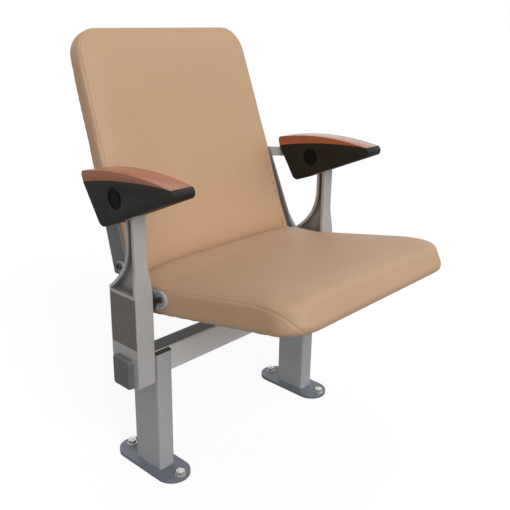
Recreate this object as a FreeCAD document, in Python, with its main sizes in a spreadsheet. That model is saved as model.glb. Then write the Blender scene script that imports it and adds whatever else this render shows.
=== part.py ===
import FreeCAD, Part
import Sketcher
import math
import os

# Tip up auditorium seat on two floor legs and a cross beam.
# Frame: X runs along the row, Y to the back, Z up, millimetres.
# Origin: on the floor, at the middle of the four floor bolts.
# Left and right are those of the person who sits in the seat, so left is +X.

doc = FreeCAD.newDocument("TipUpSeat")
sheet = doc.addObject("Spreadsheet::Sheet", "Size")


class Formula:
    """A size with its value and the sheet formula that it comes from."""

    def __init__(self, value, text):
        self.value = float(value)
        self.text = text

    def __float__(self):
        return self.value

    def __neg__(self):
        return Formula(-self.value, f"(-{self.text})")

    def __add__(self, other):
        other = formula(other)
        return Formula(self.value + other.value, f"({self.text} + {other.text})")

    def __sub__(self, other):
        other = formula(other)
        return Formula(self.value - other.value, f"({self.text} - {other.text})")

    def __mul__(self, other):
        other = formula(other)
        return Formula(self.value * other.value, f"({self.text} * {other.text})")

    def __truediv__(self, other):
        other = formula(other)
        return Formula(self.value / other.value, f"({self.text} / {other.text})")

    def __radd__(self, other):
        return formula(other) + self

    def __rsub__(self, other):
        return formula(other) - self

    def __rmul__(self, other):
        return formula(other) * self


def formula(number):
    if isinstance(number, Formula):
        return number
    return Formula(number, f"({number!r})")


def root(number):
    return Formula(math.sqrt(number.value), f"sqrt({number.text})")


def tangent(angle):
    return Formula(math.tan(math.radians(angle.value)), f"tan({angle.text} * 1 deg)")


def sine(angle):
    return Formula(math.sin(math.radians(angle.value)), f"sin({angle.text} * 1 deg)")


def cosine(angle):
    return Formula(math.cos(math.radians(angle.value)), f"cos({angle.text} * 1 deg)")


used_rows = []


def size(alias, value):
    """Writes one driving size in the sheet and gives its formula."""
    row = len(used_rows) + 1
    used_rows.append(alias)
    sheet.set(f"A{row}", alias)
    sheet.set(f"B{row}", str(value))
    sheet.setAlias(f"B{row}", alias)
    sheet.recompute()
    return Formula(sheet.get(alias), f"Size.{alias}")


# Clearances
seat_gap = size("seat_gap", 0.3)
slide_gap = size("slide_gap", 0.3)
running_gap = size("running_gap", 0.06)
overcut = size("overcut", 5)
snug_gap = size("snug_gap", 0.02)

# Floor plates, legs and their bolts
leg_inset = size("leg_inset", 9.8)
bolt_spacing = size("bolt_spacing", 160)
bolt_hole = size("bolt_hole", 11)
plate_width = size("plate_width", 74)
plate_front = size("plate_front", 92)
plate_rear = size("plate_rear", 100)
plate_thickness = size("plate_thickness", 8)
leg_width = size("leg_width", 38)
leg_depth = size("leg_depth", 80)
leg_wall = size("leg_wall", 3)
leg_corner = size("leg_corner", 5)
cap_thickness = size("cap_thickness", 2.5)
cap_plug = size("cap_plug", 8)
cap_screw_hole = size("cap_screw_hole", 4)
cap_corner = size("cap_corner", 2)
saddle_thickness = size("saddle_thickness", 5)
washer_diameter = size("washer_diameter", 21)
washer_thickness = size("washer_thickness", 2)
nut_across_flats = size("nut_across_flats", 17)
nut_height = size("nut_height", 8)
nut_bore = size("nut_bore", 10.2)

# Cross beam
beam_depth = size("beam_depth", 44)
beam_height = size("beam_height", 54.5)
beam_wall = size("beam_wall", 3)
beam_corner = size("beam_corner", 3)
beam_base = size("beam_base", 220.5)
beam_setback = size("beam_setback", 11)
beam_overhang = size("beam_overhang", 3)
strip_depth = size("strip_depth", 2.5)
strip_rim = size("strip_rim", 4)
end_cap_thickness = size("end_cap_thickness", 10)
end_cap_bevel = size("end_cap_bevel", 5)
end_cap_margin = size("end_cap_margin", 4)
saddle_bolt_diameter = size("saddle_bolt_diameter", 10)

# Standards: one casting each, with a box foot, a flanged column and a head
box_width = size("box_width", 40.4)
box_front = size("box_front", 47)
box_rear = size("box_rear", 33)
box_base = size("box_base", 214.5)
box_top = size("box_top", 405)
box_toe = size("box_toe", 10)
column_width = size("column_width", 28.7)
column_front = size("column_front", 41.5)
column_rear = size("column_rear", 18)
column_top = size("column_top", 566)
flare_height = size("flare_height", 52)
front_step_height = size("front_step_height", 68)
sweep_radius = size("sweep_radius", 120)
sweep_height = size("sweep_height", 513)
front_flange = size("front_flange", 8)
rear_flange = size("rear_flange", 6)
web_thickness = size("web_thickness", 9)
web_base_rise = size("web_base_rise", 5)
web_top = size("web_top", 555)
casting_round = size("casting_round", 2)
head_thickness = size("head_thickness", 16)
head_rear = size("head_rear", 22)
head_top = size("head_top", 608)
head_shoulder_rise = size("head_shoulder_rise", 6)
head_shoulder_round = size("head_shoulder_round", 5)
head_top_round = size("head_top_round", 8)
clamp_screw_diameter = size("clamp_screw_diameter", 10)
clamp_screw_spacing = size("clamp_screw_spacing", 26)

# Mechanism pocket in the box foot and its cover
pocket_wall = size("pocket_wall", 10)
pocket_front = size("pocket_front", 43)
pocket_rear = size("pocket_rear", 27)
pocket_base = size("pocket_base", 303.5)
pocket_ceiling = size("pocket_ceiling", 402.5)
pocket_corner = size("pocket_corner", 4)
cover_thickness = size("cover_thickness", 3)
cover_corner = size("cover_corner", 2)
cover_base = size("cover_base", 300.6)
cover_border = size("cover_border", 1.5)
cover_top_border = size("cover_top_border", 1.2)
cover_lip = size("cover_lip", 2)
cover_lip_depth = size("cover_lip_depth", 2.5)

# Lug behind the box foot that holds the back bar
lug_thickness = size("lug_thickness", 6)
lug_bolt_y = size("lug_bolt_y", 59)
lug_bolt_z = size("lug_bolt_z", 434)
lug_radius = size("lug_radius", 10)
lug_neck = size("lug_neck", 14)
lug_root_front = size("lug_root_front", 18)
lug_root_base = size("lug_root_base", 392)
bar_bolt_diameter = size("bar_bolt_diameter", 8)
bar_bolt_head = size("bar_bolt_head", 13)
bar_bolt_head_height = size("bar_bolt_head_height", 4.5)

# Seat hinge
pivot_y = size("pivot_y", -27)
pivot_z = size("pivot_z", 388)
axle_diameter = size("axle_diameter", 16)
axle_inset = size("axle_inset", 5.2)
hinge_room = size("hinge_room", 6.4)
bush_diameter = size("bush_diameter", 20)
bush_flange_diameter = size("bush_flange_diameter", 44)
hinge_plate_thickness = size("hinge_plate_thickness", 5.6)
hinge_screw_ahead = size("hinge_screw_ahead", 30)
hinge_screw_above = size("hinge_screw_above", 8)
hinge_front_radius = size("hinge_front_radius", 18)
hinge_rear_radius = size("hinge_rear_radius", 20)
hinge_dish_radius = size("hinge_dish_radius", 14)
hinge_dish_depth = size("hinge_dish_depth", 2)
hinge_screw_diameter = size("hinge_screw_diameter", 8)
hinge_screw_head = size("hinge_screw_head", 13)
hinge_screw_head_height = size("hinge_screw_head_height", 4)
hex_key = size("hex_key", 5)
key_depth = size("key_depth", 2.8)
set_screw_key_depth = size("set_screw_key_depth", 5)
lever_side_gap = size("lever_side_gap", 1.2)
lever_thickness = size("lever_thickness", 10)
lever_hub_radius = size("lever_hub_radius", 13)
lever_length = size("lever_length", 38)
lever_half_width = size("lever_half_width", 6.5)
down_buffer_ahead = size("down_buffer_ahead", 29)
lever_droop_angle = size("lever_droop_angle", 15)
tip_angle = size("tip_angle", 75)
buffer_width = size("buffer_width", 12)
up_buffer_height = size("up_buffer_height", 14)
spring_wire = size("spring_wire", 2.4)
spring_turns = size("spring_turns", 3.5)
spring_bore_radius = size("spring_bore_radius", 9)
spring_play = size("spring_play", 0.4)
circlip_width = size("circlip_width", 3)
circlip_thickness = size("circlip_thickness", 1.2)

# Seat
seat_tilt_angle = size("seat_tilt_angle", 10)
seat_half_width = size("seat_half_width", 246.5)
seat_ahead = size("seat_ahead", 363)
seat_behind = size("seat_behind", 50)
seat_below = size("seat_below", 32)
seat_seam_height = size("seat_seam_height", 18)
seat_crown = size("seat_crown", 27)
seat_side_roll = size("seat_side_roll", 165)
seat_front_roll = size("seat_front_roll", 190)
seat_rear_roll = size("seat_rear_roll", 40)
seat_front_slope = size("seat_front_slope", 11)
seat_tuck = size("seat_tuck", 5)
seat_front_tuck = size("seat_front_tuck", 14)
seat_tuck_height = size("seat_tuck_height", 14)
seat_front_corner = size("seat_front_corner", 56)
seat_rear_corner = size("seat_rear_corner", 22)
seat_board_margin = size("seat_board_margin", 15)
seat_board_front_margin = size("seat_board_front_margin", 32)
seat_board_thickness = size("seat_board_thickness", 15)
seat_board_corner = size("seat_board_corner", 18)
seat_panel_thickness = size("seat_panel_thickness", 2.6)
seat_panel_border = size("seat_panel_border", 12)
seat_panel_recess = size("seat_panel_recess", 1.2)
rail_padding = size("rail_padding", 6.5)
rail_width = size("rail_width", 26)
rail_height = size("rail_height", 27)
rail_ahead = size("rail_ahead", 125)
rail_behind = size("rail_behind", 34)
panel_screw_diameter = size("panel_screw_diameter", 4)
panel_screw_head = size("panel_screw_head", 9)
panel_screw_head_height = size("panel_screw_head_height", 1.5)
panel_screw_grip = size("panel_screw_grip", 12)
panel_screw_inset = size("panel_screw_inset", 18)

# Backrest
back_lean_angle = size("back_lean_angle", 19.2)
back_foot_y = size("back_foot_y", 39)
back_foot_z = size("back_foot_z", 412)
back_height = size("back_height", 494)
back_inset = size("back_inset", 3.5)
back_taper_angle = size("back_taper_angle", 2.3)
back_thickness = size("back_thickness", 45)
back_side_depth = size("back_side_depth", 11)
back_crown = size("back_crown", 18)
back_roll = size("back_roll", 100)
back_tuck = size("back_tuck", 6)
back_tuck_depth = size("back_tuck_depth", 9)
back_top_corner = size("back_top_corner", 50)
back_foot_corner = size("back_foot_corner", 16)
back_board_thickness = size("back_board_thickness", 12)
back_board_margin = size("back_board_margin", 12)
back_panel_thickness = size("back_panel_thickness", 3)
back_rail_foot = size("back_rail_foot", 12)
back_rail_height = size("back_rail_height", 215)
back_rail_width = size("back_rail_width", 24)
back_rail_depth = size("back_rail_depth", 24.5)
back_screw_inset = size("back_screw_inset", 92)
back_screw_foot = size("back_screw_foot", 60)
back_screw_head = size("back_screw_head", 70)
bar_thickness = size("bar_thickness", 5)
bar_height = size("bar_height", 189)
bar_foot_width = size("bar_foot_width", 50)
bar_top_width = size("bar_top_width", 32)
bar_foot_round = size("bar_foot_round", 4)
bar_top_round = size("bar_top_round", 6)
bar_front_y = size("bar_front_y", 34.5)
bar_lean_angle = size("bar_lean_angle", 22)

# Armrests
arm_width = size("arm_width", 49)
arm_rear_y = size("arm_rear_y", 92)
arm_rear_z = size("arm_rear_z", 605.5)
arm_heel_y = size("arm_heel_y", 42)
arm_heel_z = size("arm_heel_z", 526.5)
arm_heel_round = size("arm_heel_round", 16)
arm_nose_y = size("arm_nose_y", -156)
arm_nose_top = size("arm_nose_top", 632)
arm_nose_height = size("arm_nose_height", 20.5)
arm_nose_bulge = size("arm_nose_bulge", 6.5)
arm_seam_bulge = size("arm_seam_bulge", 7)
wood_rear_height = size("wood_rear_height", 22)
wood_top_bulge = size("wood_top_bulge", 11.5)
wood_rear_overhang = size("wood_rear_overhang", 4)
wood_rear_round = size("wood_rear_round", 8)
plug_radius = size("plug_radius", 20)
plug_recess = size("plug_recess", 4)
plug_thickness = size("plug_thickness", 3)
plug_groove = size("plug_groove", 1)
plug_rim = size("plug_rim", 3)
plug_groove_width = size("plug_groove_width", 4)
arm_bolt_y = size("arm_bolt_y", -3)
arm_bolt_z = size("arm_bolt_z", 590)
arm_bolt_diameter = size("arm_bolt_diameter", 10)
arm_bolt_head_radius = size("arm_bolt_head_radius", 9)
arm_bolt_head_height = size("arm_bolt_head_height", 5)
arm_bolt_flats = size("arm_bolt_flats", 15.3)
arm_bolt_end_gap = size("arm_bolt_end_gap", 1)
arm_bolt_head_gap = size("arm_bolt_head_gap", 1)
strap_thickness = size("strap_thickness", 4)
strap_height = size("strap_height", 21.5)
strap_foot = size("strap_foot", 24)
strap_knee_y = size("strap_knee_y", 111)
strap_front = size("strap_front", 15)
strap_bend_angle = size("strap_bend_angle", 45)

# Places worked out from the sizes
hinge_plate_inside = seat_half_width + seat_gap
hinge_plate_outside = hinge_plate_inside + hinge_plate_thickness
box_inside = hinge_plate_outside + hinge_room
standard_x = box_inside + box_width / 2
box_outside = box_inside + box_width
leg_x = box_inside - leg_inset - leg_width / 2
beam_front = beam_setback - leg_depth / 2
beam_rear = beam_front + beam_depth
beam_middle = beam_rear - beam_depth / 2
beam_top = beam_base + beam_height
beam_end = box_outside + beam_overhang
plate_top = plate_thickness
axle_end = box_outside - axle_inset
lever_inside = box_inside + pocket_wall + lever_side_gap
back_half_width = seat_half_width - back_inset
bar_outside = back_half_width + seat_gap + bar_thickness
lug_inside = bar_outside + seat_gap
screw_y = pivot_y - hinge_screw_ahead
screw_z = pivot_z + hinge_screw_above
arm_inside = standard_x - arm_width / 2
arm_outside = standard_x + arm_width / 2
head_inside = standard_x - head_thickness / 2
head_outside = standard_x + head_thickness / 2

PLANES = {"XY": "XY_Plane", "XZ": "XZ_Plane", "YZ": "YZ_Plane"}


def bind(thing, **values):
    """Ties properties of an object to formulas of the sheet."""
    for name, value in values.items():
        thing.setExpression(name, formula(value).text)
    return thing


def place(thing, x=0, y=0, z=0):
    """Ties an object's place to formulas of the sheet."""
    for axis, value in zip("xyz", (x, y, z)):
        thing.setExpression(f"Placement.Base.{axis}", formula(value).text)
    return thing


def turn(thing, axis, angle):
    """Turns an object about one axis through its own origin."""
    thing.Placement = FreeCAD.Placement(FreeCAD.Vector(), FreeCAD.Rotation(FreeCAD.Vector(*axis), float(angle)))
    thing.setExpression("Placement.Rotation.Angle", f"{formula(angle).text} * 1 deg")
    return thing


def box(xs, ys, zs):
    """A block between low and high places on each axis."""
    block = doc.addObject("Part::Box", "Block")
    bind(block, Length=xs[1] - xs[0], Width=ys[1] - ys[0], Height=zs[1] - zs[0])
    return place(block, xs[0], ys[0], zs[0])


def rod(axis, centre, radius, ends):
    """A round bar along one axis, centred on the other two, between two ends."""
    bar = doc.addObject("Part::Cylinder", "Rod")
    bind(bar, Radius=radius, Height=ends[1] - ends[0])
    if axis == "X":
        bar.Placement.Rotation = FreeCAD.Rotation(FreeCAD.Vector(0, 1, 0), 90)
        return place(bar, ends[0], centre[0], centre[1])
    if axis == "Y":
        bar.Placement.Rotation = FreeCAD.Rotation(FreeCAD.Vector(1, 0, 0), -90)
        return place(bar, centre[0], ends[0], centre[1])
    return place(bar, centre[0], centre[1], ends[0])


def hexagon(axis, centre, across_flats, ends):
    """A six sided bar along X or Z."""
    bar = doc.addObject("Part::Prism", "Hexagon")
    bar.Polygon = 6
    bind(bar, Circumradius=across_flats / root(formula(3)), Height=ends[1] - ends[0])
    if axis == "X":
        bar.Placement.Rotation = FreeCAD.Rotation(FreeCAD.Vector(0, 1, 0), 90)
        return place(bar, ends[0], centre[0], centre[1])
    return place(bar, centre[0], centre[1], ends[0])


def fuse(*things):
    if len(things) == 1:
        return things[0]
    joined = doc.addObject("Part::MultiFuse", "Fused")
    joined.Shapes = list(things)
    return joined


def cut(base, *tools):
    rest = doc.addObject("Part::Cut", "Rest")
    rest.Base = base
    rest.Tool = fuse(*tools)
    return rest


def group(*things):
    """Separate solids that share one node."""
    together = doc.addObject("Part::Compound", "Group")
    together.Links = list(things)
    return together


def mirrored(thing):
    """The same piece on the right side of the seat."""
    twin = doc.addObject("Part::Mirroring", "Twin")
    twin.Source = thing
    twin.Base = (0, 0, 0)
    twin.Normal = (1, 0, 0)
    return twin


nodes = {}


def name(label, thing):
    """Gives a sub-part its name, which is also its node and file name."""
    thing.Label = label
    nodes[label] = thing
    return thing


def pair(label, thing):
    """Names a left piece and its mirrored right twin."""
    name(f"{label}_left", thing)
    name(f"{label}_right", mirrored(thing))


def unit(vector):
    return vector / vector.Length


def outline(sketch, corners):
    """Draws a closed outline through corners given as formulas.

    A corner is (across, up) or (across, up, radius) where it is rounded. The mark
    ("arc", radius, side) between two corners makes that edge an arc, which bulges
    to the right of the way of travel with side 1 and to the left with side -1, and
    ("bulge", rise, side) does the same with the arc's rise over its chord.
    """
    points, edges = [], []
    for item in corners:
        if item[0] in ("arc", "bulge"):
            edges[-1] = item
        else:
            points.append(item)
            edges.append(None)
    count = len(points)
    for k in range(count):
        if edges[k] is not None and edges[k][0] == "bulge":
            here, there = points[k], points[(k + 1) % count]
            across, up = there[0] - here[0], there[1] - here[1]
            rise = edges[k][1]
            edges[k] = ("arc", ((across * across + up * up) / 4 + rise * rise) / (2 * rise), edges[k][2])
    spots = [FreeCAD.Vector(float(p[0]), float(p[1]), 0) for p in points]

    def tangent_spots(k):
        here, before, after = spots[k], spots[k - 1], spots[(k + 1) % count]
        to_before, to_after = unit(before - here), unit(after - here)
        half = to_before.getAngle(to_after) / 2
        radius = float(points[k][2])
        run = radius / math.tan(half)
        centre = here + unit(to_before + to_after) * (radius / math.sin(half))
        middle = centre + unit(here - centre) * radius
        return here + to_before * run, middle, here + to_after * run

    rounded = {k: tangent_spots(k) for k in range(count) if len(points[k]) == 3}
    starts = [rounded[k][2] if k in rounded else spots[k] for k in range(count)]
    ends = [rounded[k][0] if k in rounded else spots[k] for k in range(count)]

    def add_arc(first, middle, last):
        number = sketch.addGeometry(Part.Arc(first, middle, last))
        forward = sketch.getPoint(number, 1).distanceToPoint(first) < sketch.getPoint(number, 2).distanceToPoint(first)
        return (number, 1, 2) if forward else (number, 2, 1)

    drawn = []
    for k in range(count):
        first, last = starts[k], ends[(k + 1) % count]
        if edges[k] is None:
            drawn.append((sketch.addGeometry(Part.LineSegment(first, last)), 1, 2))
            continue
        radius, side = float(edges[k][1]), edges[k][2]
        chord = last - first
        right = FreeCAD.Vector(chord.y, -chord.x, 0) / chord.Length
        rise = radius - math.sqrt(radius ** 2 - (chord.Length / 2) ** 2)
        drawn.append(add_arc(first, (first + last) / 2 + right * rise * side, last))
        fixed = sketch.addConstraint(Sketcher.Constraint("Radius", drawn[-1][0], radius))
        sketch.setExpression(f"Constraints[{fixed}]", edges[k][1].text)

    def pin(geometry, position, corner):
        for way, value in zip(("DistanceX", "DistanceY"), corner):
            fixed = sketch.addConstraint(Sketcher.Constraint(way, -1, 1, geometry, position, float(value)))
            sketch.setExpression(f"Constraints[{fixed}]", formula(value).text)

    for k in range(count):
        before, after = drawn[k - 1], drawn[k]
        if k not in rounded:
            sketch.addConstraint(Sketcher.Constraint("Coincident", before[0], before[2], after[0], after[1]))
            pin(after[0], after[1], points[k][:2])
            continue
        arc = add_arc(*rounded[k])
        corner = sketch.addGeometry(Part.Point(spots[k]), True)
        sketch.addConstraint(Sketcher.Constraint("Tangent", before[0], before[2], arc[0], arc[1]))
        sketch.addConstraint(Sketcher.Constraint("Tangent", arc[0], arc[2], after[0], after[1]))
        sketch.addConstraint(Sketcher.Constraint("PointOnObject", corner, 1, before[0]))
        sketch.addConstraint(Sketcher.Constraint("PointOnObject", corner, 1, after[0]))
        pin(corner, 1, points[k][:2])
        fixed = sketch.addConstraint(Sketcher.Constraint("Radius", arc[0], float(points[k][2])))
        sketch.setExpression(f"Constraints[{fixed}]", formula(points[k][2]).text)


def circle(sketch, centre, radius):
    """Draws a full circle whose centre and radius are formulas."""
    spot = FreeCAD.Vector(float(centre[0]), float(centre[1]), 0)
    number = sketch.addGeometry(Part.Circle(spot, FreeCAD.Vector(0, 0, 1), float(radius)))
    for way, value in zip(("DistanceX", "DistanceY"), centre):
        fixed = sketch.addConstraint(Sketcher.Constraint(way, -1, 1, number, 3, float(value)))
        sketch.setExpression(f"Constraints[{fixed}]", formula(value).text)
    fixed = sketch.addConstraint(Sketcher.Constraint("Radius", number, float(radius)))
    sketch.setExpression(f"Constraints[{fixed}]", formula(radius).text)


def new_body():
    return doc.addObject("PartDesign::Body", "Body")


def sketch_on(body, plane, offset, outlines):
    """A sketch on a plane of the body's own origin, moved along its normal."""
    base = next(f for f in body.Origin.OriginFeatures if f.Role == PLANES[plane])
    sketch = body.newObject("Sketcher::SketchObject", "Sketch")
    sketch.AttachmentSupport = (base, [""])
    sketch.MapMode = "FlatFace"
    sketch.setExpression("AttachmentOffset.Base.z", formula(offset).text)
    for corners in outlines:
        if corners[0] == "circle":
            circle(sketch, corners[1], corners[2])
        else:
            outline(sketch, corners)
    return sketch


def pad(body, plane, low, high, *outlines):
    """Adds material between two places along the plane's axis."""
    offset = -high if plane == "XZ" else low
    feature = body.newObject("PartDesign::Pad", "Pad")
    feature.Profile = sketch_on(body, plane, offset, outlines)
    return bind(feature, Length=high - low)


def pocket(body, plane, low, high, *outlines):
    """Takes material away between two places along the plane's axis."""
    offset = -low if plane == "XZ" else high
    feature = body.newObject("PartDesign::Pocket", "Pocket")
    feature.Profile = sketch_on(body, plane, offset, outlines)
    return bind(feature, Length=high - low)


def round_edges(body, radius, chosen):
    """Rounds the edges of the body's last feature that the test picks out."""
    doc.recompute()
    last = body.Tip
    picked = [f"Edge{k + 1}" for k, edge in enumerate(last.Shape.Edges) if chosen(edge)]
    feature = body.newObject("PartDesign::Fillet", "Round")
    feature.Base = (last, picked)
    return bind(feature, Radius=radius)


def rectangle(low, high, radius=None):
    """The four corners between two opposite ones, rounded if a radius is given."""
    corners = [(low[0], low[1]), (high[0], low[1]), (high[0], high[1]), (low[0], high[1])]
    return corners if radius is None else [corner + (radius,) for corner in corners]


# Floor plates, legs, saddles and caps
def floor_plate():
    """A steel plate with round ends and two bolt holes."""
    plate = new_body()
    half, reach, middle = plate_width / 2, bolt_spacing / 2, formula(0)
    front, rear = -plate_front, plate_rear
    pad(plate, "XY", formula(0), plate_thickness, [
        (-half, front + half), ("arc", half, 1), (middle, front), ("arc", half, 1), (half, front + half),
        (half, rear - half), ("arc", half, 1), (middle, rear), ("arc", half, 1), (-half, rear - half)])
    pocket(plate, "XY", formula(0), plate_thickness,
           ["circle", (middle, -reach), bolt_hole / 2], ["circle", (middle, reach), bolt_hole / 2])
    return place(plate, leg_x)


def leg():
    """A rectangular tube, notched at its top where the beam lies in it."""
    tube = new_body()
    half_x, half_y = leg_width / 2, leg_depth / 2
    top = beam_top - cap_thickness
    pad(tube, "XY", plate_top, top, rectangle((-half_x, -half_y), (half_x, half_y), leg_corner))
    pocket(tube, "XY", plate_top, top, rectangle(
        (leg_wall - half_x, leg_wall - half_y), (half_x - leg_wall, half_y - leg_wall), leg_corner - leg_wall))
    pocket(tube, "YZ", -leg_width, leg_width, rectangle(
        (beam_front - slide_gap, beam_base), (beam_rear + slide_gap, beam_top)))
    return place(tube, leg_x)


def saddle():
    """The plate inside the leg that the beam is bolted down to."""
    plate = new_body()
    half_x = leg_width / 2 - leg_wall - slide_gap
    half_y = leg_depth / 2 - leg_wall - slide_gap
    low = beam_base - saddle_thickness
    pad(plate, "XY", low, beam_base, rectangle((-half_x, -half_y), (half_x, half_y), leg_corner - leg_wall))
    pocket(plate, "XY", low, beam_base, [
        "circle", (formula(0), beam_middle), saddle_bolt_diameter / 2 + snug_gap])
    return place(plate, leg_x)


def leg_cap(front, rear, in_front):
    """A moulded lid on the open top of the leg, with a plug below it."""
    cap = new_body()
    half_x = leg_width / 2
    inside = half_x - leg_wall - slide_gap
    lid_base = beam_top - cap_thickness
    wall = leg_wall + slide_gap
    plug_front, plug_rear = (front + wall, rear - slide_gap) if in_front else (front + slide_gap, rear - wall)
    pad(cap, "XY", lid_base, beam_top, rectangle((-half_x, front), (half_x, rear), cap_corner))
    pad(cap, "XY", lid_base - cap_plug, lid_base, rectangle(
        (-inside, plug_front), (inside, plug_rear), leg_corner - leg_wall))
    if in_front:
        middle = (front + rear) / 2
        pocket(cap, "XY", lid_base - cap_plug, beam_top, ["circle", (formula(0), middle), cap_screw_hole / 2])
    return place(cap, leg_x)


def leg_caps():
    half_y = leg_depth / 2
    return group(leg_cap(-half_y, beam_front - slide_gap, True), leg_cap(beam_rear + slide_gap, half_y, False))


def floor_ring(radius_out, bore, low, height, six_sided):
    """Washers or nuts on the four floor bolts."""
    rings = []
    for x in (-leg_x, leg_x):
        for y in (-bolt_spacing / 2, bolt_spacing / 2):
            ends = (low, low + height)
            body = hexagon("Z", (x, y), radius_out * 2, ends) if six_sided else rod("Z", (x, y), radius_out, ends)
            rings.append(cut(body, rod("Z", (x, y), bore / 2, ends)))
    return group(*rings)


pair("floor_plate", floor_plate())
pair("leg", leg())
pair("leg_saddle", saddle())
pair("leg_cap", leg_caps())
name("floor_washers", floor_ring(washer_diameter / 2, bolt_hole, plate_top, washer_thickness, False))
name("floor_nuts", floor_ring(nut_across_flats / 2, nut_bore, plate_top + washer_thickness, nut_height, True))


# Cross beam, its top strip and its end caps
def cross_beam():
    """A hollow section with a channel along its top for the strip."""
    tube = new_body()
    front, rear = beam_front, beam_rear
    pad(tube, "YZ", -beam_end, beam_end, rectangle((front, beam_base), (rear, beam_top), beam_corner))
    pocket(tube, "YZ", -beam_end, beam_end, rectangle(
        (front + beam_wall, beam_base + beam_wall), (rear - beam_wall, beam_top - beam_wall - strip_depth)))
    pocket(tube, "YZ", -beam_end, beam_end, rectangle(
        (front + strip_rim, beam_top - strip_depth), (rear - strip_rim, beam_top + strip_depth)))
    bore = saddle_bolt_diameter / 2 + snug_gap
    pocket(tube, "XY", beam_base, beam_base + beam_wall,
           ["circle", (-leg_x, beam_middle), bore], ["circle", (leg_x, beam_middle), bore])
    return tube


def beam_strip():
    """The dark strip that closes the channel between the standards."""
    return box((-box_inside + slide_gap, box_inside - slide_gap),
               (beam_front + strip_rim + slide_gap / 2, beam_rear - strip_rim - slide_gap / 2),
               (beam_top - strip_depth, beam_top))


def beam_end_cap():
    """A domed cap with a plug inside the beam's end."""
    shell = new_body()
    grow = end_cap_margin
    pad(shell, "YZ", beam_end, beam_end + end_cap_thickness, rectangle(
        (beam_front - grow, beam_base - grow), (beam_rear + grow, beam_top + grow), beam_corner + grow))
    low, high = float(beam_end), float(beam_end + end_cap_thickness)
    round_edges(shell, end_cap_bevel, lambda edge: abs(edge.BoundBox.XMin - high) < 0.001)
    inside = beam_wall + slide_gap
    pad(shell, "YZ", beam_end - end_cap_thickness, beam_end, rectangle(
        (beam_front + inside, beam_base + inside), (beam_rear - inside, beam_top - inside - strip_depth)))
    return shell


def saddle_bolts():
    bolts = []
    for x in (-leg_x, leg_x):
        shank = rod("Z", (x, beam_middle), saddle_bolt_diameter / 2,
                    (beam_base - saddle_thickness, beam_base + beam_wall))
        head = hexagon("Z", (x, beam_middle), nut_across_flats,
                       (beam_base - saddle_thickness - nut_height, beam_base - saddle_thickness))
        inner_nut = hexagon("Z", (x, beam_middle), nut_across_flats,
                            (beam_base + beam_wall, beam_base + beam_wall + nut_height))
        bolts.append(fuse(shank, head, inner_nut))
    return group(*bolts)


name("cross_beam", cross_beam())
name("beam_strip", beam_strip())
pair("beam_end_cap", beam_end_cap())
name("saddle_bolts", saddle_bolts())


# Standards
def sweep_point(radius, centre_y, z_drop):
    """How far back an arc about the sweep's centre lies at a drop below it."""
    return centre_y - root(radius * radius - z_drop * z_drop)


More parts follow.
